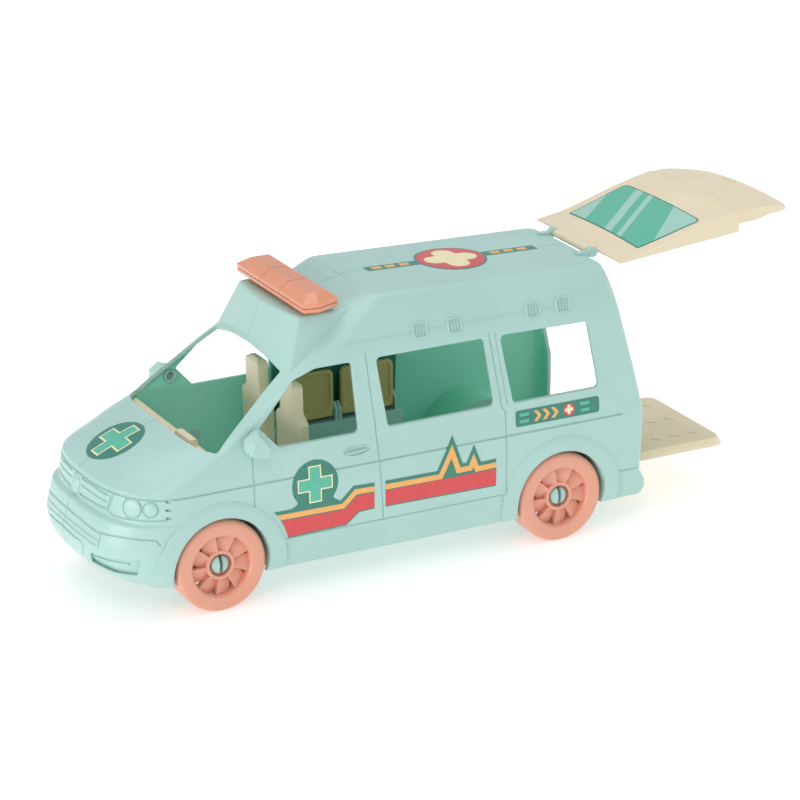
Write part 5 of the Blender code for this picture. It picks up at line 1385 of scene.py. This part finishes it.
def tailgate_details(gate, surface):
    """Scooped grip below the window with a ridge at its ends, and a catch near the tip."""
    grip, catch, notch, *ridge = places((79, 0), (106.5, 13), (106.5, 6.2), (73, 22.5),
                                        (76, 23.6), (80, 22.8), x=TAILGATE_AXIS[0])
    cut(gate, grip_scoop(*place_on(surface, "top", grip)))
    for sign in (-1, 1):
        track = trace(surface, "top", [(x, y * sign) for x, y in ridge])
        fuse(gate, sweep("ridge", track, bead(1.2, .45), ends=.4))
    fuse(gate, dome_on(surface, "top", catch, 5.2, 2, 1.2))
    cut(gate, dome_on(surface, "top", notch, 1.4, 1.6, .8))


def grip_scoop(place, normal):
    """Shallow oval hollow of the grip, deepest towards the window."""
    scoop = dome(place + normal * .9 * MM, normal, 22, 9, 1.9)
    finger = place + normal * .3 * MM - Vector((4.5 * MM, 0, 0))
    return fuse(scoop, dome(finger, normal, 15, 4.5, 1.5))


def ramp():
    """Tray-like ramp with sloped side bands, low grip dashes, and its hinge pins."""
    axis_x = RAMP_AXIS[0]
    top, low = FLOOR_HEIGHT, RAMP_UNDERSIDE
    tip, half = axis_x + RAMP_LENGTH, RAMP_HALF_WIDTH
    start, hollow_start = axis_x - 1.4 * MM, axis_x + 6 * MM
    radii = mm(0, 6, 6, 0)

    def outline(inset, from_x):
        return rounded([(from_x, -half + inset), (tip - inset, -half + inset),
                        (tip - inset, half - inset), (from_x, half - inset)], radii, 8)

    plate = lofted("ramp_tray", [(outline(0, start), low), (outline(0, start), low + 1 * MM),
                                 (outline(1.8 * MM, start), top)])
    softened(plate, .35 * MM, angle=18)
    cut(plate, lofted("hollow", [(outline(2.2 * MM, hollow_start), low - 2 * MM),
                                 (outline(3.2 * MM, hollow_start), top - RAMP_WALL)]))
    surface = surface_of(plate)
    for column in range(4):
        for row in (-1, 0, 1):
            x, y = tip - (12.5 + 11.5 * column) * MM, row * 24 * MM
            dash = trace(surface, "top", places((-1.8, 2), (1.8, -2), x=x, y=y), .7 * MM)
            fuse(plate, sweep("grip", dash, bead(1.3, .5), ends=.5))
    edge = rod("edge", "Y", RAMP_AXIS, 2.2 * MM, -half + SEAM_GAP, half - SEAM_GAP)
    cut(edge, block("above", (-FAR, -FAR, top - .1 * MM), (FAR, FAR, FAR)))
    fuse(plate, edge)
    for sign in (-1, 1):
        near, far = span(sign, half - 1 * MM, half + RUNNING_GAP + 2.8 * MM)
        fuse(plate, rod("pin", "Y", RAMP_AXIS, HINGE_PIN_RADIUS, near, far, 24))
    return smooth(plate)


def cabin_floor():
    """Loading floor between the wheel wells, from the dashboard to the rear doorway."""
    floor = block("load_floor", (nose(70), -FAR, FLOOR_UNDERSIDE), (FLOOR_END, FAR, FLOOR_HEIGHT))
    keep_inside(floor, inner_form())
    for place, x, sign in axles():
        low, high = span(sign, WELL_END_Y - SEAM_GAP, FAR)
        cut(floor, rod("well", "Y", (x, AXLE_Z), WELL_RADIUS + RUNNING_GAP, low, high, 72))
    return smooth(floor)


def cabin_seat(name, sign):
    """One-piece front seat, open behind: cushion, shouldered back and narrower head rest."""
    foot = FLOOR_HEIGHT + SEAM_GAP
    top = foot + SEAT_HEIGHT
    y = SEAT_OFFSET_Y * sign
    half = SEAT_WIDTH / 2
    front = SEAT_BACK_X - 26 * MM
    back = SEAT_BACK_X + 2.2 * MM
    side = [(front, foot), *places((0, 0), (0, 40), x=back, y=foot),
            *places((-.4, -1.5), (-1.9, 0), (-4.5, 0), (-6.2, -2), x=back, y=top),
            *places((-5.4, 26), (-7.6, 17), x=back, y=foot),
            *places((1.5, 15.5), (0, 14), x=front, y=foot)]
    seat = prism(name, rounded(side, mm(0, 0, 0, 1, .9, .9, 1, 9, 3, 1, 1), 4), "Y",
                 y - half, y + half)
    head = 7.8 * MM
    shoulder = foot + 51 * MM
    faces = rounded([(y - half, foot - 5 * MM), (y + half, foot - 5 * MM), (y + half, shoulder),
                     (y + head, shoulder + 3.5 * MM), (y + head, top + .01 * MM),
                     (y - head, top + .01 * MM), (y - head, shoulder + 3.5 * MM),
                     (y - half, shoulder)], mm(0, 0, 3.8, 1.2, 4.2, 4.2, 1.2, 3.8), 6)
    keep_inside(seat, prism("front_view", faces, "X", -FAR, FAR))
    softened(seat, .8 * MM, 4, 40)
    wall = SEAT_WALL
    open_back = [(front + wall, -FAR), (FAR, -FAR), (FAR, foot + 47 * MM),
                 (back - 3.8 * MM, foot + 46 * MM), (back - 5.4 * MM + wall, foot + 26 * MM),
                 (back - 7.6 * MM + wall, foot + 17 * MM - wall),
                 (front + wall, foot + 15 * MM - wall)]
    cut(seat, prism("open_back", open_back, "Y", y - half + wall, y + half - wall))
    return smooth(seat)


def dashboard():
    """Shelf under the windscreen with a raised instrument hood on the driver's side."""
    low = FLOOR_HEIGHT + 22 * MM
    crest = GLASS_HEIGHT - 2.4 * MM
    wall = DASHBOARD_WALL
    rear = nose(66)
    outline = [(rear - 8 * MM, low), (rear - 1 * MM, crest - 10 * MM), (rear, crest - 2.2 * MM),
               (rear - 2 * MM, crest), (-FAR, crest), (-FAR, crest - wall),
               (rear - 3 * MM, crest - wall), (rear - wall, crest - 3 * MM),
               (rear - 1 * MM - wall, crest - 10 * MM), (rear - 8 * MM - wall, low)]
    shelf = prism("dash", rounded(outline, mm(.6, 4, 1, 1, 0, 0, .6, .6, 3, .6), 5), "Y",
                  -FAR, FAR)
    hood = rounded(places((-9, -1), (-1.5, -1), (-3, 4), (-7, 4), x=rear, y=crest), 1.2 * MM)
    fuse(shelf, softened(prism("hood", hood, "Y", -30 * MM, -12 * MM), .7 * MM, 4, 50))
    return smooth(keep_inside(shelf, inner_form()))


def jump_seat_places():
    """Name and low x of each folding seat on the far wall."""
    first = nose(145.5)
    return ("front", first), ("rear", first + JUMP_SEAT_WIDTH + 4.8 * MM)


def side_wall_panel():
    """Thin green lining on the far wall behind the folding seats."""
    lining = body_solid("lining", WALL + SEAM_GAP, foot=0.0)
    cut(lining, body_solid("inside", WALL + SEAM_GAP + PANEL_THICKNESS, foot=-FAR))
    top = between(GLASS_HEIGHT, ROOF_HEIGHT, .5)
    keep_inside(lining, block("extent", (nose(143.5), HALF_WIDTH / 2, LEDGE_TOP + SEAM_GAP),
                              (nose(218), FAR, top)))
    return smooth(lining)


def wall_y(height):
    """Half width of the cabin's inner wall at a height between belt and crease."""
    share = (height - CREASE_HEIGHT) / (BELT_HEIGHT - CREASE_HEIGHT)
    return HALF_WIDTH - between(1.0 * MM, .3 * MM, min(1.0, share)) - WALL


def jump_seat_rail():
    """Bench ledge on the far wall with upright ears that the folding seats turn in."""
    y = JUMP_SEAT_AXIS_Y
    outer = wall_y(LEDGE_TOP) - SEAM_GAP - .4 * MM
    (name, first), (name, last) = jump_seat_places()
    low, high = first - 5 * MM, last + JUMP_SEAT_WIDTH + 5 * MM
    rail = block("rail", (low, y - 3.4 * MM, FLOOR_HEIGHT + SEAM_GAP), (high, outer, LEDGE_TOP))
    softened(rail, .6 * MM, 4)
    cut(rail, block("recess", (low + 2 * MM, y - 1.6 * MM, 0),
                    (high - 2 * MM, FAR, LEDGE_TOP - 1.8 * MM)))
    thick = 1.8 * MM
    ear = rounded([*places((-2.4, -1), (3.2, -1), x=y, y=LEDGE_TOP),
                   *places((3.2, 5.5), (.8, 6.5), (-2.4, 2.2), x=y, y=JUMP_SEAT_AXIS_Z)],
                  mm(0, 0, .8, 1, 1.4), 5)
    for x in (first, last):
        for left in (x - thick - RUNNING_GAP, x + JUMP_SEAT_WIDTH + RUNNING_GAP):
            fuse(rail, prism("ear", ear, "X", left, left + thick))
            cut(rail, rod("eye", "X", (y, JUMP_SEAT_AXIS_Z), SEAT_PIN_RADIUS + PIN_GAP,
                          left - 1 * MM, left + thick + 1 * MM, 24))
    return smooth(rail)


def jump_seat(name, x):
    """Folding seat plate, upright against the wall, with a stub pin at each lower corner."""
    y, z = JUMP_SEAT_AXIS_Y, JUMP_SEAT_AXIS_Z
    half = JUMP_SEAT_THICKNESS / 2
    high, top = x + JUMP_SEAT_WIDTH, z + JUMP_SEAT_HEIGHT
    outline = rounded([(x, z - half), (high, z - half), (high, top), (x, top)],
                      mm(0, 0, 3.4, 3.4), 8)
    plate = softened(prism(f"folding_seat_{name}", outline, "Y", y - half, y + half), .55 * MM, 4)
    edge = 1.8 * MM
    rim = rounded([(x + edge, z + 2.6 * MM), (high - edge, z + 2.6 * MM),
                   (high - edge, top - edge), (x + edge, top - edge)], 2.4 * MM)
    inner = [(between(x + JUMP_SEAT_WIDTH / 2, a, .965),
              between(z + JUMP_SEAT_HEIGHT / 2, b, .965)) for a, b in rim]
    cut(plate, lofted("recess", [(rim, y - half - .1 * MM), (inner, y - half + .6 * MM)], "Y"))
    reach = RUNNING_GAP + 1.5 * MM
    for start, end in ((x - reach, x + 1 * MM), (high - 1 * MM, high + reach)):
        fuse(plate, rod("pin", "X", (y, z), SEAT_PIN_RADIUS, start, end, 24))
    return smooth(plate)


def mirror(name, sign):
    """Door mirror: leaf-shaped pod with a sunk glass field, a short neck and its round plug."""
    wall = HALF_WIDTH - 2.6 * MM
    full = [(-80.5, 96.2), (-73.0, 86.6), (-74.2, 80.0), (-83.0, 82.6), (-87.0, 86.6), (-86.4, 92.4)]
    flat = [(-80.2, 95.4), (-73.2, 86.2), (-74.4, 80.2), (-82.4, 83.6), (-84.2, 87.4), (-83.6, 91.4)]
    middle = Vector(drawn("side", (-80.2, 88))[0])
    sections = []
    for out, corners, size in ((-.4, full, .72), (.8, full, .92), (2.2, full, 1.0), (4.4, full, 1.0),
                               (6.2, flat, 1.0), (7.4, flat, .95), (8.1, flat, .84)):
        leaf = rounded(drawn("side", *corners), mm(1.6, 2.2, 1.8, 2.4, 2.4, 2.4))
        sections.append(([tuple(middle + (Vector(p) - middle) * size) for p in leaf],
                         (HALF_WIDTH + out * MM) * sign))
    pod = lofted(name, sections, "Y")
    low, high = span(sign, HALF_WIDTH + 1.6 * MM, HALF_WIDTH + 6.4 * MM)
    glass = rounded([(low, 81.6 * MM), (high, 81.6 * MM), (high, 86.2 * MM), (low, 86.2 * MM)],
                    1.2 * MM)
    cut(pod, prism("glass", glass, "X", along_van(-74.4), along_van(-70)))

    def round_bar(radius, near, far):
        return rod("round", "Y", mirror_plug_place(), radius, *span(sign, near, far), 40)

    radius = MIRROR_PLUG_RADIUS
    neck = round_bar(radius + 1.2 * MM, wall + .8 * MM + SEAM_GAP * 2, HALF_WIDTH + 3 * MM)
    plug = round_bar(radius, wall - WALL - 1.4 * MM, HALF_WIDTH + 2 * MM)
    cut(plug, round_bar(radius - 1 * MM, wall - WALL - 3 * MM, wall))
    return smooth(fuse(pod, neck, plug))


def chassis_screw(number, x, y):
    """Countersunk screw with a cross recess in its head, seen from below."""
    top = BOSS_TOP - 2.4 * MM
    shank = SCREW_FOOT + SCREW_HEAD_HEIGHT
    profile = [(SCREW_HEAD_RADIUS - .15 * MM, SCREW_FOOT), (SCREW_HEAD_RADIUS, SCREW_FOOT + .15 * MM),
               (SCREW_RADIUS, shank)]
    turns = 8
    for k in range(turns):
        place = shank + (top - shank - .8 * MM) * (k + .5) / turns
        profile += [(SCREW_RADIUS * .8, place), (SCREW_RADIUS, place + .35 * MM)]
    profile.append((SCREW_RADIUS * .3, top))
    screw = spindle(f"screw_{number}", profile, (x, y), "Z", 40)
    for a, b in (mm(1.7, .38), mm(.38, 1.7)):
        cut(screw, block("recess", (x - a, y - b, SCREW_FOOT - 1 * MM),
                         (x + a, y + b, SCREW_FOOT + .9 * MM)))
    return smooth(screw)


def printed(name, skins, layer, tool):
    """One printed film: the part of a prism between two skins."""
    keep_inside(tool, skins[layer], keep_tool=True)
    boolean(tool, skins[layer - 1], "DIFFERENCE", keep_tool=True)
    tool.name = tool.data.name = name
    return smooth(tool, 40)


def side_prism(outline):
    """Prism through the driver's side of the body, from an outline in x and z."""
    return prism("film", outline, "Y", *span(-1, HALF_WIDTH - 12 * MM, HALF_WIDTH + 12 * MM))


def top_prism(outline):
    """Upright prism through the bonnet, the roof and the open tailgate."""
    return prism("film", outline, "Z", 60 * MM, 190 * MM)


def beside(points, millimetres):
    """Open line moved to its right by a distance, with its corners mitred."""
    line = [Vector(p) for p in points]
    ways = [(b - a).normalized() for a, b in zip(line, line[1:])]
    moved = []
    for point, before, after in zip(line, ways[:1] + ways, ways + ways[-1:]):
        right = (Vector((before.y, -before.x)) + Vector((after.y, -after.x))).normalized()
        share = right.dot(Vector((before.y, -before.x)))
        moved.append(tuple(point + right * (millimetres * MM) / max(share, .3)))
    return moved


def plus(centre, arm, half, tip=0.0, root=0.0):
    """Outline of a plus sign from millimetres, its outer and inner corners rounded if wanted."""
    corners = [(half, -arm), (half, -half), (arm, -half)]
    shape = []
    for turn in range(4):
        shape += corners
        corners = [(-b, a) for a, b in corners]
    return rounded(places(*shape, x=centre[0], y=centre[1]), mm(tip, root, tip) * 4, 8)


def disc(centre, radius, sides):
    """Round outline with its radius in millimetres."""
    return oval(centre, radius * MM, radius * MM, sides)


def band(upper, lower, level_field=False):
    """Green band between two lines, with an orange line and a red field inside its edge."""
    field_top = beside(upper, 5.5)
    if level_field:
        field_top = [field_top[0], (field_top[-1][0], field_top[0][1])]
    return (side_prism(upper + lower[::-1]),
            side_prism(beside(upper, 2.0) + beside(upper, 4.9)[::-1]),
            side_prism(field_top + beside(lower, -.7)[::-1]))


def side_films():
    """Bands on the driver's side and the door's disc: name, layer, prism and look of each."""
    centre = drawn("side", (-46.4, 60.0))[0]
    foot = drawn("side", (-62, 48.0), (-57, 50.4), (-55.4, 54), (-37.6, 54), (-35.8, 50.4), (-32, 48.0))
    front = band(drawn("side", (-78, 49.1), (-32.0, 48.5), (-24.8, 55.0), (-12.8, 54.6)),
                 drawn("side", (-78, 33.0), (-28.9, 33.9), (-21.6, 39.8), (-12.8, 40.2)))
    fuse(front[0], side_prism(disc(centre, 13, 72)), side_prism(foot))
    for tool in front:
        cut(tool, rod("flare_edge", "Y", (FRONT_AXLE_X, AXLE_Z), FLARE_RADIUS + 3.2 * MM,
                      -FAR, FAR, 96))
    rear = band(drawn("side", (-6.4, 54.4), (23.6, 54.1), (33.0, 72.0), (38.6, 55.6), (40.9, 55.6),
                      (45.4, 64.8), (49.4, 54.4), (58.4, 54.6)),
                drawn("side", (-6.4, 39.9), (58.4, 39.2)), level_field=True)
    for place, (green, orange, red) in (("front", front), ("rear", rear)):
        yield f"band_{place}_green", 1, green, FILM_GREEN
        yield f"band_{place}_orange", 2, orange, FILM_ORANGE
        yield f"band_{place}_red", 2, red, FILM_RED
    yield "door_plus_rim", 2, side_prism(plus(centre, 9.9, 3.6)), FILM_CREAM
    yield "door_plus", 3, side_prism(plus(centre, 9.2, 2.9)), FILM_TEAL


def plate_films():
    """Dark plate over the rear wheel: dashes, three arrows and a small cross disc."""
    low, high = 69.4, 78.2
    middle = (low + high) / 2
    yield "plate_green", 1, side_prism(boxed("side", 70.6, 121, low, high, 1.5)), FILM_GREEN
    for number, (x, z) in enumerate(((73.0, 72.0), (73.0, 75.6), (109.6, 72.0), (109.6, 75.6))):
        dash = boxed("side", x, x + 5.4, z - .8, z + .8)
        yield f"plate_dash_{number}", 2, side_prism(dash), FILM_TEAL
    for number, x in enumerate((81.4, 86.6, 91.8)):
        arrow = drawn("side", (x, middle - 2.9), (x + 2.2, middle - 2.9), (x + 4.6, middle),
                      (x + 2.2, middle + 2.9), (x, middle + 2.9), (x + 2.4, middle))
        yield f"plate_arrow_{number}", 2, side_prism(arrow), FILM_ORANGE
    centre = drawn("side", (102.6, middle))[0]
    yield "plate_disc", 2, side_prism(disc(centre, 3.4, 40)), FILM_RED
    yield "plate_cross", 3, side_prism(plus(centre, 2.6, 1.0, .95, .2)), FILM_CREAM


def top_films():
    """Bonnet disc, and the roof's strip with its cross disc."""
    bonnet, roof = drawn("top", (-131.2, 1), (62, 0))
    rim = oval(bonnet, 15.0 * MM, 16.2 * MM, 72)
    yield "bonnet_green", 1, top_prism(rim), FILM_GREEN
    yield "bonnet_plus_rim", 2, top_prism(plus(bonnet, 12.2, 4.3)), FILM_CREAM
    yield "bonnet_plus", 3, top_prism(plus(bonnet, 11.3, 3.4)), FILM_TEAL
    strip = top_prism(boxed("top", 12, 113, -3.5, 3.5, .7, 4))
    yield "roof_green", 1, fuse(strip, top_prism(disc(roof, 19.5, 96))), FILM_GREEN
    yield "roof_disc", 2, top_prism(disc(roof, 18.2, 96)), FILM_RED
    yield "roof_cross", 3, top_prism(plus(roof, 15, 6.0, 5.9, 1.2)), FILM_CREAM
    for number, x in enumerate((15.5, 23.5, 31.5, 86, 94, 102)):
        bar = boxed("top", x, x + 5.6, -1.9, 1.9, .6)
        yield f"roof_bar_{number}", 2, top_prism(bar), FILM_ORANGE


def window_films():
    """Printed window of the tailgate, with light bands across it."""
    edge = rounded(drawn("top", (154.8, -36.4), (192.6, -38.9), (192.6, 38.9), (154.8, 36.4)),
                   mm(1.2, 3.2, 3.2, 1.2))
    pane = rounded(drawn("top", (155.7, -35.4), (191.8, -38.0), (191.8, 38.0), (155.7, 35.4)),
                   mm(.8, 2.6, 2.6, .8))
    yield "window_edge", 1, top_prism(edge), FILM_GREEN
    yield "window_pane", 2, top_prism(pane), FILM_TEAL
    for number, corners in enumerate((((150, -11), (196, 22), (196, 29.5), (150, -4.5)),
                                      ((150, -21.5), (196, 11.5), (196, 16), (150, -17)),
                                      ((163.9, -45), (196, -45), (196, -9.4), (163.9, -37)),
                                      ((150, 16), (180.9, 38.1), (180.9, 45), (150, 45)))):
        tool = keep_inside(top_prism(drawn("top", *corners)), top_prism(pane))
        yield f"window_band_{number}", 3, tool, FILM_PALE


def stickers():
    """All printed films, those of the driver's side also on the other side."""
    skins = [body_solid(f"skin_{number}", -height) for number, height in enumerate(FILM)]
    for films in (side_films, plate_films):
        for name, layer, tool, look in films():
            item = printed(f"sticker_{name}_left", skins, layer, tool)
            finish(reflected(item, f"sticker_{name}_right"), look)
            finish(item, look)
    for name, layer, tool, look in top_films():
        finish(printed(f"sticker_{name}", skins, layer, tool), look)
    discard(*skins)
    skins = [tailgate_solid(f"skin_{number}", height, 1 * MM - 3 * height)
             for number, height in enumerate(FILM)]
    for name, layer, tool, look in window_films():
        finish(printed(f"sticker_{name}", skins, layer, tool), look, "tailgate_body")
    discard(*skins)


class Nodes:
    """Short names for building one material's node tree."""

    def __init__(self, name):
        self.material = bpy.data.materials.new(name)
        self.material.use_nodes = True
        self.tree = self.material.node_tree
        self.shader = self.tree.nodes["Principled BSDF"]

    def feed(self, node, inputs):
        """Give a node's inputs their values, or links from other nodes' outputs."""
        for key, value in inputs.items():
            if isinstance(value, bpy.types.NodeSocket):
                self.tree.links.new(value, node.inputs[key])
            else:
                node.inputs[key].default_value = value

    def add(self, kind, output, inputs, **settings):
        """New node with its inputs fed: gives back one of its outputs."""
        node = self.tree.nodes.new(kind)
        for key, value in settings.items():
            setattr(node, key, value)
        self.feed(node, inputs)
        return node.outputs[output]

    def noise(self, scale, detail, roughness=.5):
        """Noise that is fixed to the piece, with its scale per metre."""
        place = self.add("ShaderNodeTexCoord", "Object", {})
        return self.add("ShaderNodeTexNoise", "Fac", {"Scale": scale, "Detail": detail,
                                                      "Roughness": roughness, "Vector": place})

    def ramp(self, source, low, high):
        """Value or colour that runs from low to high over the middle of a source's range."""
        node = self.tree.nodes.new("ShaderNodeValToRGB")
        for stop, place, value in zip(node.color_ramp.elements, (.3, .7), (low, high)):
            stop.position = place
            stop.color = (*value, 1.0) if isinstance(value, tuple) else (value, value, value, 1.0)
        self.feed(node, {"Fac": source})
        return node.outputs["Color"]

    def multiply(self, share, first, second):
        """First colour, darkened by a share of the second."""
        return self.add("ShaderNodeMix", 2, {0: share, 6: first, 7: second},
                        data_type="RGBA", blend_type="MULTIPLY")

    def bump(self, height, strength, distance, **normal):
        return self.add("ShaderNodeBump", "Normal", {"Strength": strength, "Distance": distance,
                                                     "Height": height, **normal})

    def rounded_edges(self, radius):
        return self.add("ShaderNodeBevel", "Normal", {"Radius": radius}, samples=4)


def srgb(red, green, blue):
    """Linear colour from 0 to 255 display values."""
    shares = [value / 255 for value in (red, green, blue)]
    return tuple(s / 12.92 if s <= .04045 else ((s + .055) / 1.055) ** 2.4 for s in shares)


def scaled(colour, factor):
    return tuple(min(1.0, value * factor) for value in colour)


def moulded_plastic(name, colour, gloss=.36):
    """Toy plastic: faint flow clouds, a fine moulded grain, and softened edges."""
    nodes = Nodes(name)
    clouds = nodes.ramp(nodes.noise(18, 3), scaled(colour, .965), scaled(colour, 1.03))
    specks = nodes.ramp(nodes.noise(1400, 1), .985, 1.0)
    swell = nodes.bump(nodes.noise(35, 1), .12, .6 * MM, Normal=nodes.rounded_edges(.35 * MM))
    nodes.feed(nodes.shader, {
        "Base Color": nodes.multiply(.5, clouds, specks),
        "Roughness": nodes.ramp(nodes.noise(60, 4, .6), gloss - .03, gloss + .05),
        "Normal": nodes.bump(nodes.noise(520, 2), .25, .05 * MM, Normal=swell),
        "IOR": 1.5, "Coat Weight": .15, "Coat Roughness": .18})
    return nodes.material


def screw_metal(name):
    """Zinc-plated steel with a turned brushing."""
    nodes = Nodes(name)
    tone = nodes.noise(2500, 3)
    nodes.feed(nodes.shader, {
        "Metallic": 1.0,
        "Base Color": nodes.ramp(tone, (.50, .50, .48), (.66, .66, .64)),
        "Roughness": nodes.ramp(nodes.noise(1800, 2), .26, .42),
        "Normal": nodes.bump(tone, .2, .03 * MM, Normal=nodes.rounded_edges(.2 * MM))})
    return nodes.material


def printed_film(name, colour):
    """Glossy printed sticker with faint unevenness in its ink and its lie."""
    nodes = Nodes(name)
    nodes.feed(nodes.shader, {
        "Base Color": nodes.ramp(nodes.noise(420, 3), scaled(colour, .95), scaled(colour, 1.04)),
        "Roughness": nodes.ramp(nodes.noise(90, 3), .24, .34),
        "Normal": nodes.bump(nodes.noise(160, 2), .15, .03 * MM),
        "Coat Weight": .3, "Coat Roughness": .12})
    return nodes.material


# Looks: each is a material with the record's slot that it stands for
MINT = moulded_plastic("mint_plastic", srgb(172, 208, 200)), "mint_plastic"
CREAM = moulded_plastic("cream_plastic", srgb(232, 218, 186), .38), "cream_plastic"
SALMON = moulded_plastic("salmon_plastic", srgb(229, 161, 136), .34), "salmon_plastic"
GREEN = moulded_plastic("green_plastic", srgb(47, 120, 102), .5), "green_plastic"
STEEL = screw_metal("screw_steel"), "screw_steel"
# Darker copy of the salmon plastic for the light bar: painted shade on its front.
LAMP_PAINTED_SHADE = moulded_plastic("lamp_painted_shade", srgb(224, 149, 116), .24), "salmon_plastic"
# Warmer, darker copy of the cream plastic for the folding seats: painted shade inside the cabin.
SEAT_PAINTED_SHADE = moulded_plastic("jump_seat_painted_shade", srgb(216, 182, 118), .42), "cream_plastic"
# Brighter, greener copy of the mint plastic for the cabin's inner faces: painted bounce light.
MINT_PAINTED_BOUNCE = moulded_plastic("mint_painted_bounce", srgb(156, 234, 212), .42), "mint_plastic"

FILM_GREEN = printed_film("film_dark_green", srgb(47, 127, 109)), "green_plastic"
FILM_TEAL = printed_film("film_teal", srgb(84, 184, 156)), "green_plastic"
FILM_PALE = printed_film("film_pale", srgb(160, 208, 194)), "mint_plastic"
FILM_ORANGE = printed_film("film_orange", srgb(240, 176, 94)), "salmon_plastic"
FILM_RED = printed_film("film_red", srgb(214, 66, 70)), "salmon_plastic"
FILM_CREAM = printed_film("film_cream", srgb(242, 232, 184)), "cream_plastic"


def finish(item, look, body="van"):
    """Give a new piece its material and the body that it rides on."""
    material, slot = look
    item.data.materials.clear()
    item.data.materials.append(material)
    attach(item, body)
    return item


def stand_for(item, node, look, body="van"):
    """Finish a piece that takes the place of a CAD node."""
    finish(item, look, body)
    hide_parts(node)


# The photograph's camera: where it looks, from which side, and how far away
CAMERA_TARGET = Vector((along_van(31.36), 0.0, 73.72 * MM))
CAMERA_AZIMUTH = math.radians(-27.066)
CAMERA_ELEVATION = math.radians(20.081)
CAMERA_ROLL = math.radians(-0.587)
CAMERA_DISTANCE = 1797.1 * MM
FOCAL_PIXELS = 3387.31
PHOTO_PIXELS = 800
SENSOR = 36.0


def photo_camera():
    """Camera at the photograph's place, aim and focal length."""
    azimuth, elevation = CAMERA_AZIMUTH, CAMERA_ELEVATION
    back = Vector((math.sin(azimuth) * math.cos(elevation),
                   -math.cos(azimuth) * math.cos(elevation), math.sin(elevation)))
    right = (-back).cross(Vector((0, 0, 1))).normalized()
    up = right.cross(-back)
    turn, lean_over = math.cos(CAMERA_ROLL), math.sin(CAMERA_ROLL)
    right, up = right * turn + up * lean_over, up * turn - right * lean_over
    data = bpy.data.cameras.new("photo_camera")
    data.sensor_width = SENSOR
    data.lens = FOCAL_PIXELS / PHOTO_PIXELS * SENSOR
    data.clip_start = .1
    data.clip_end = 20
    camera = bpy.data.objects.new("photo_camera", data)
    matrix = Matrix((right, up, back)).transposed().to_4x4()
    matrix.translation = CAMERA_TARGET + back * CAMERA_DISTANCE
    camera.matrix_world = matrix
    bpy.context.scene.collection.objects.link(camera)
    bpy.context.scene.camera = camera


def softbox(name, place, size, power, colour=(1, 1, 1)):
    """Large square light aimed at the toy."""
    data = bpy.data.lights.new(name, "AREA")
    data.shape = "RECTANGLE"
    data.size, data.size_y = size
    data.energy = power
    data.color = colour
    light = bpy.data.objects.new(name, data)
    light.location = place
    aim = Vector((0, 0, .06)) - Vector(place)
    light.rotation_euler = aim.to_track_quat("-Z", "Y").to_euler()
    bpy.context.scene.collection.objects.link(light)


def studio():
    """Pale floor, even sky and soft lights."""
    floor = prism("stage_floor", circle((0, 0), 9.0, 96), "Z", -.02, 0.0)
    nodes = Nodes("pale_floor")
    nodes.feed(nodes.shader, {
        "Base Color": nodes.ramp(nodes.noise(6, 3), (.80, .80, .79), (.84, .84, .83)),
        "Roughness": .75, "Emission Color": (1.0, 1.0, 1.0, 1.0), "Emission Strength": .4})
    floor.data.materials.append(nodes.material)
    floor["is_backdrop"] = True

    world = bpy.data.worlds.new("studio_sky")
    world.use_nodes = True
    sky = world.node_tree.nodes["Background"]
    sky.inputs["Color"].default_value = (.93, .95, 1.0, 1.0)
    sky.inputs["Strength"].default_value = .56
    bpy.context.scene.world = world
    softbox("key", (-.9, -1.3, 1.7), (1.3, 1.3), 8, (1.0, .98, .95))
    softbox("fill", (1.9, -.4, .9), (1.6, 1.2), 10, (.95, .98, 1.0))
    softbox("top", (.1, .5, 2.0), (1.6, 1.6), 13)
    softbox("low", (-1.9, -.6, .12), (1.4, .5), 16)
    bpy.context.scene.view_settings.view_transform = "Standard"
    bpy.context.scene.view_settings.look = "None"


photo_camera()
studio()

body_shells()
wheels()
stand_for(chassis(), "chassis_base", MINT)
stand_for(cabin_floor(), "cabin_floor", MINT)
stand_for(jump_seat_rail(), "jump_seat_rail", MINT)
light_bar()
stand_for(tailgate(), "tailgate", CREAM, "tailgate_body")
stand_for(ramp(), "ramp", CREAM, "ramp_body")
stand_for(cabin_seat("cab_seat_left", -1), "driver_seat", CREAM)
stand_for(cabin_seat("cab_seat_right", 1), "passenger_seat", CREAM)
stand_for(dashboard(), "dashboard", CREAM)
stand_for(side_wall_panel(), "side_wall_panel", GREEN)
for name, x in jump_seat_places():
    stand_for(jump_seat(name, x), f"jump_seat_{name}", SEAT_PAINTED_SHADE, f"{name}_jump_seat_body")
for name, sign in (("left", -1), ("right", 1)):
    stand_for(mirror(f"door_mirror_{name}", sign), f"mirror_{name}", MINT)
for number, (x, y, way) in enumerate(screw_places(), 1):
    stand_for(chassis_screw(number, x, y), f"chassis_screw_{number}", STEEL)

stickers()

for name, (low, high) in (("cad", CAD_BOX), ("visual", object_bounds())):
    list(low)
    list(high)
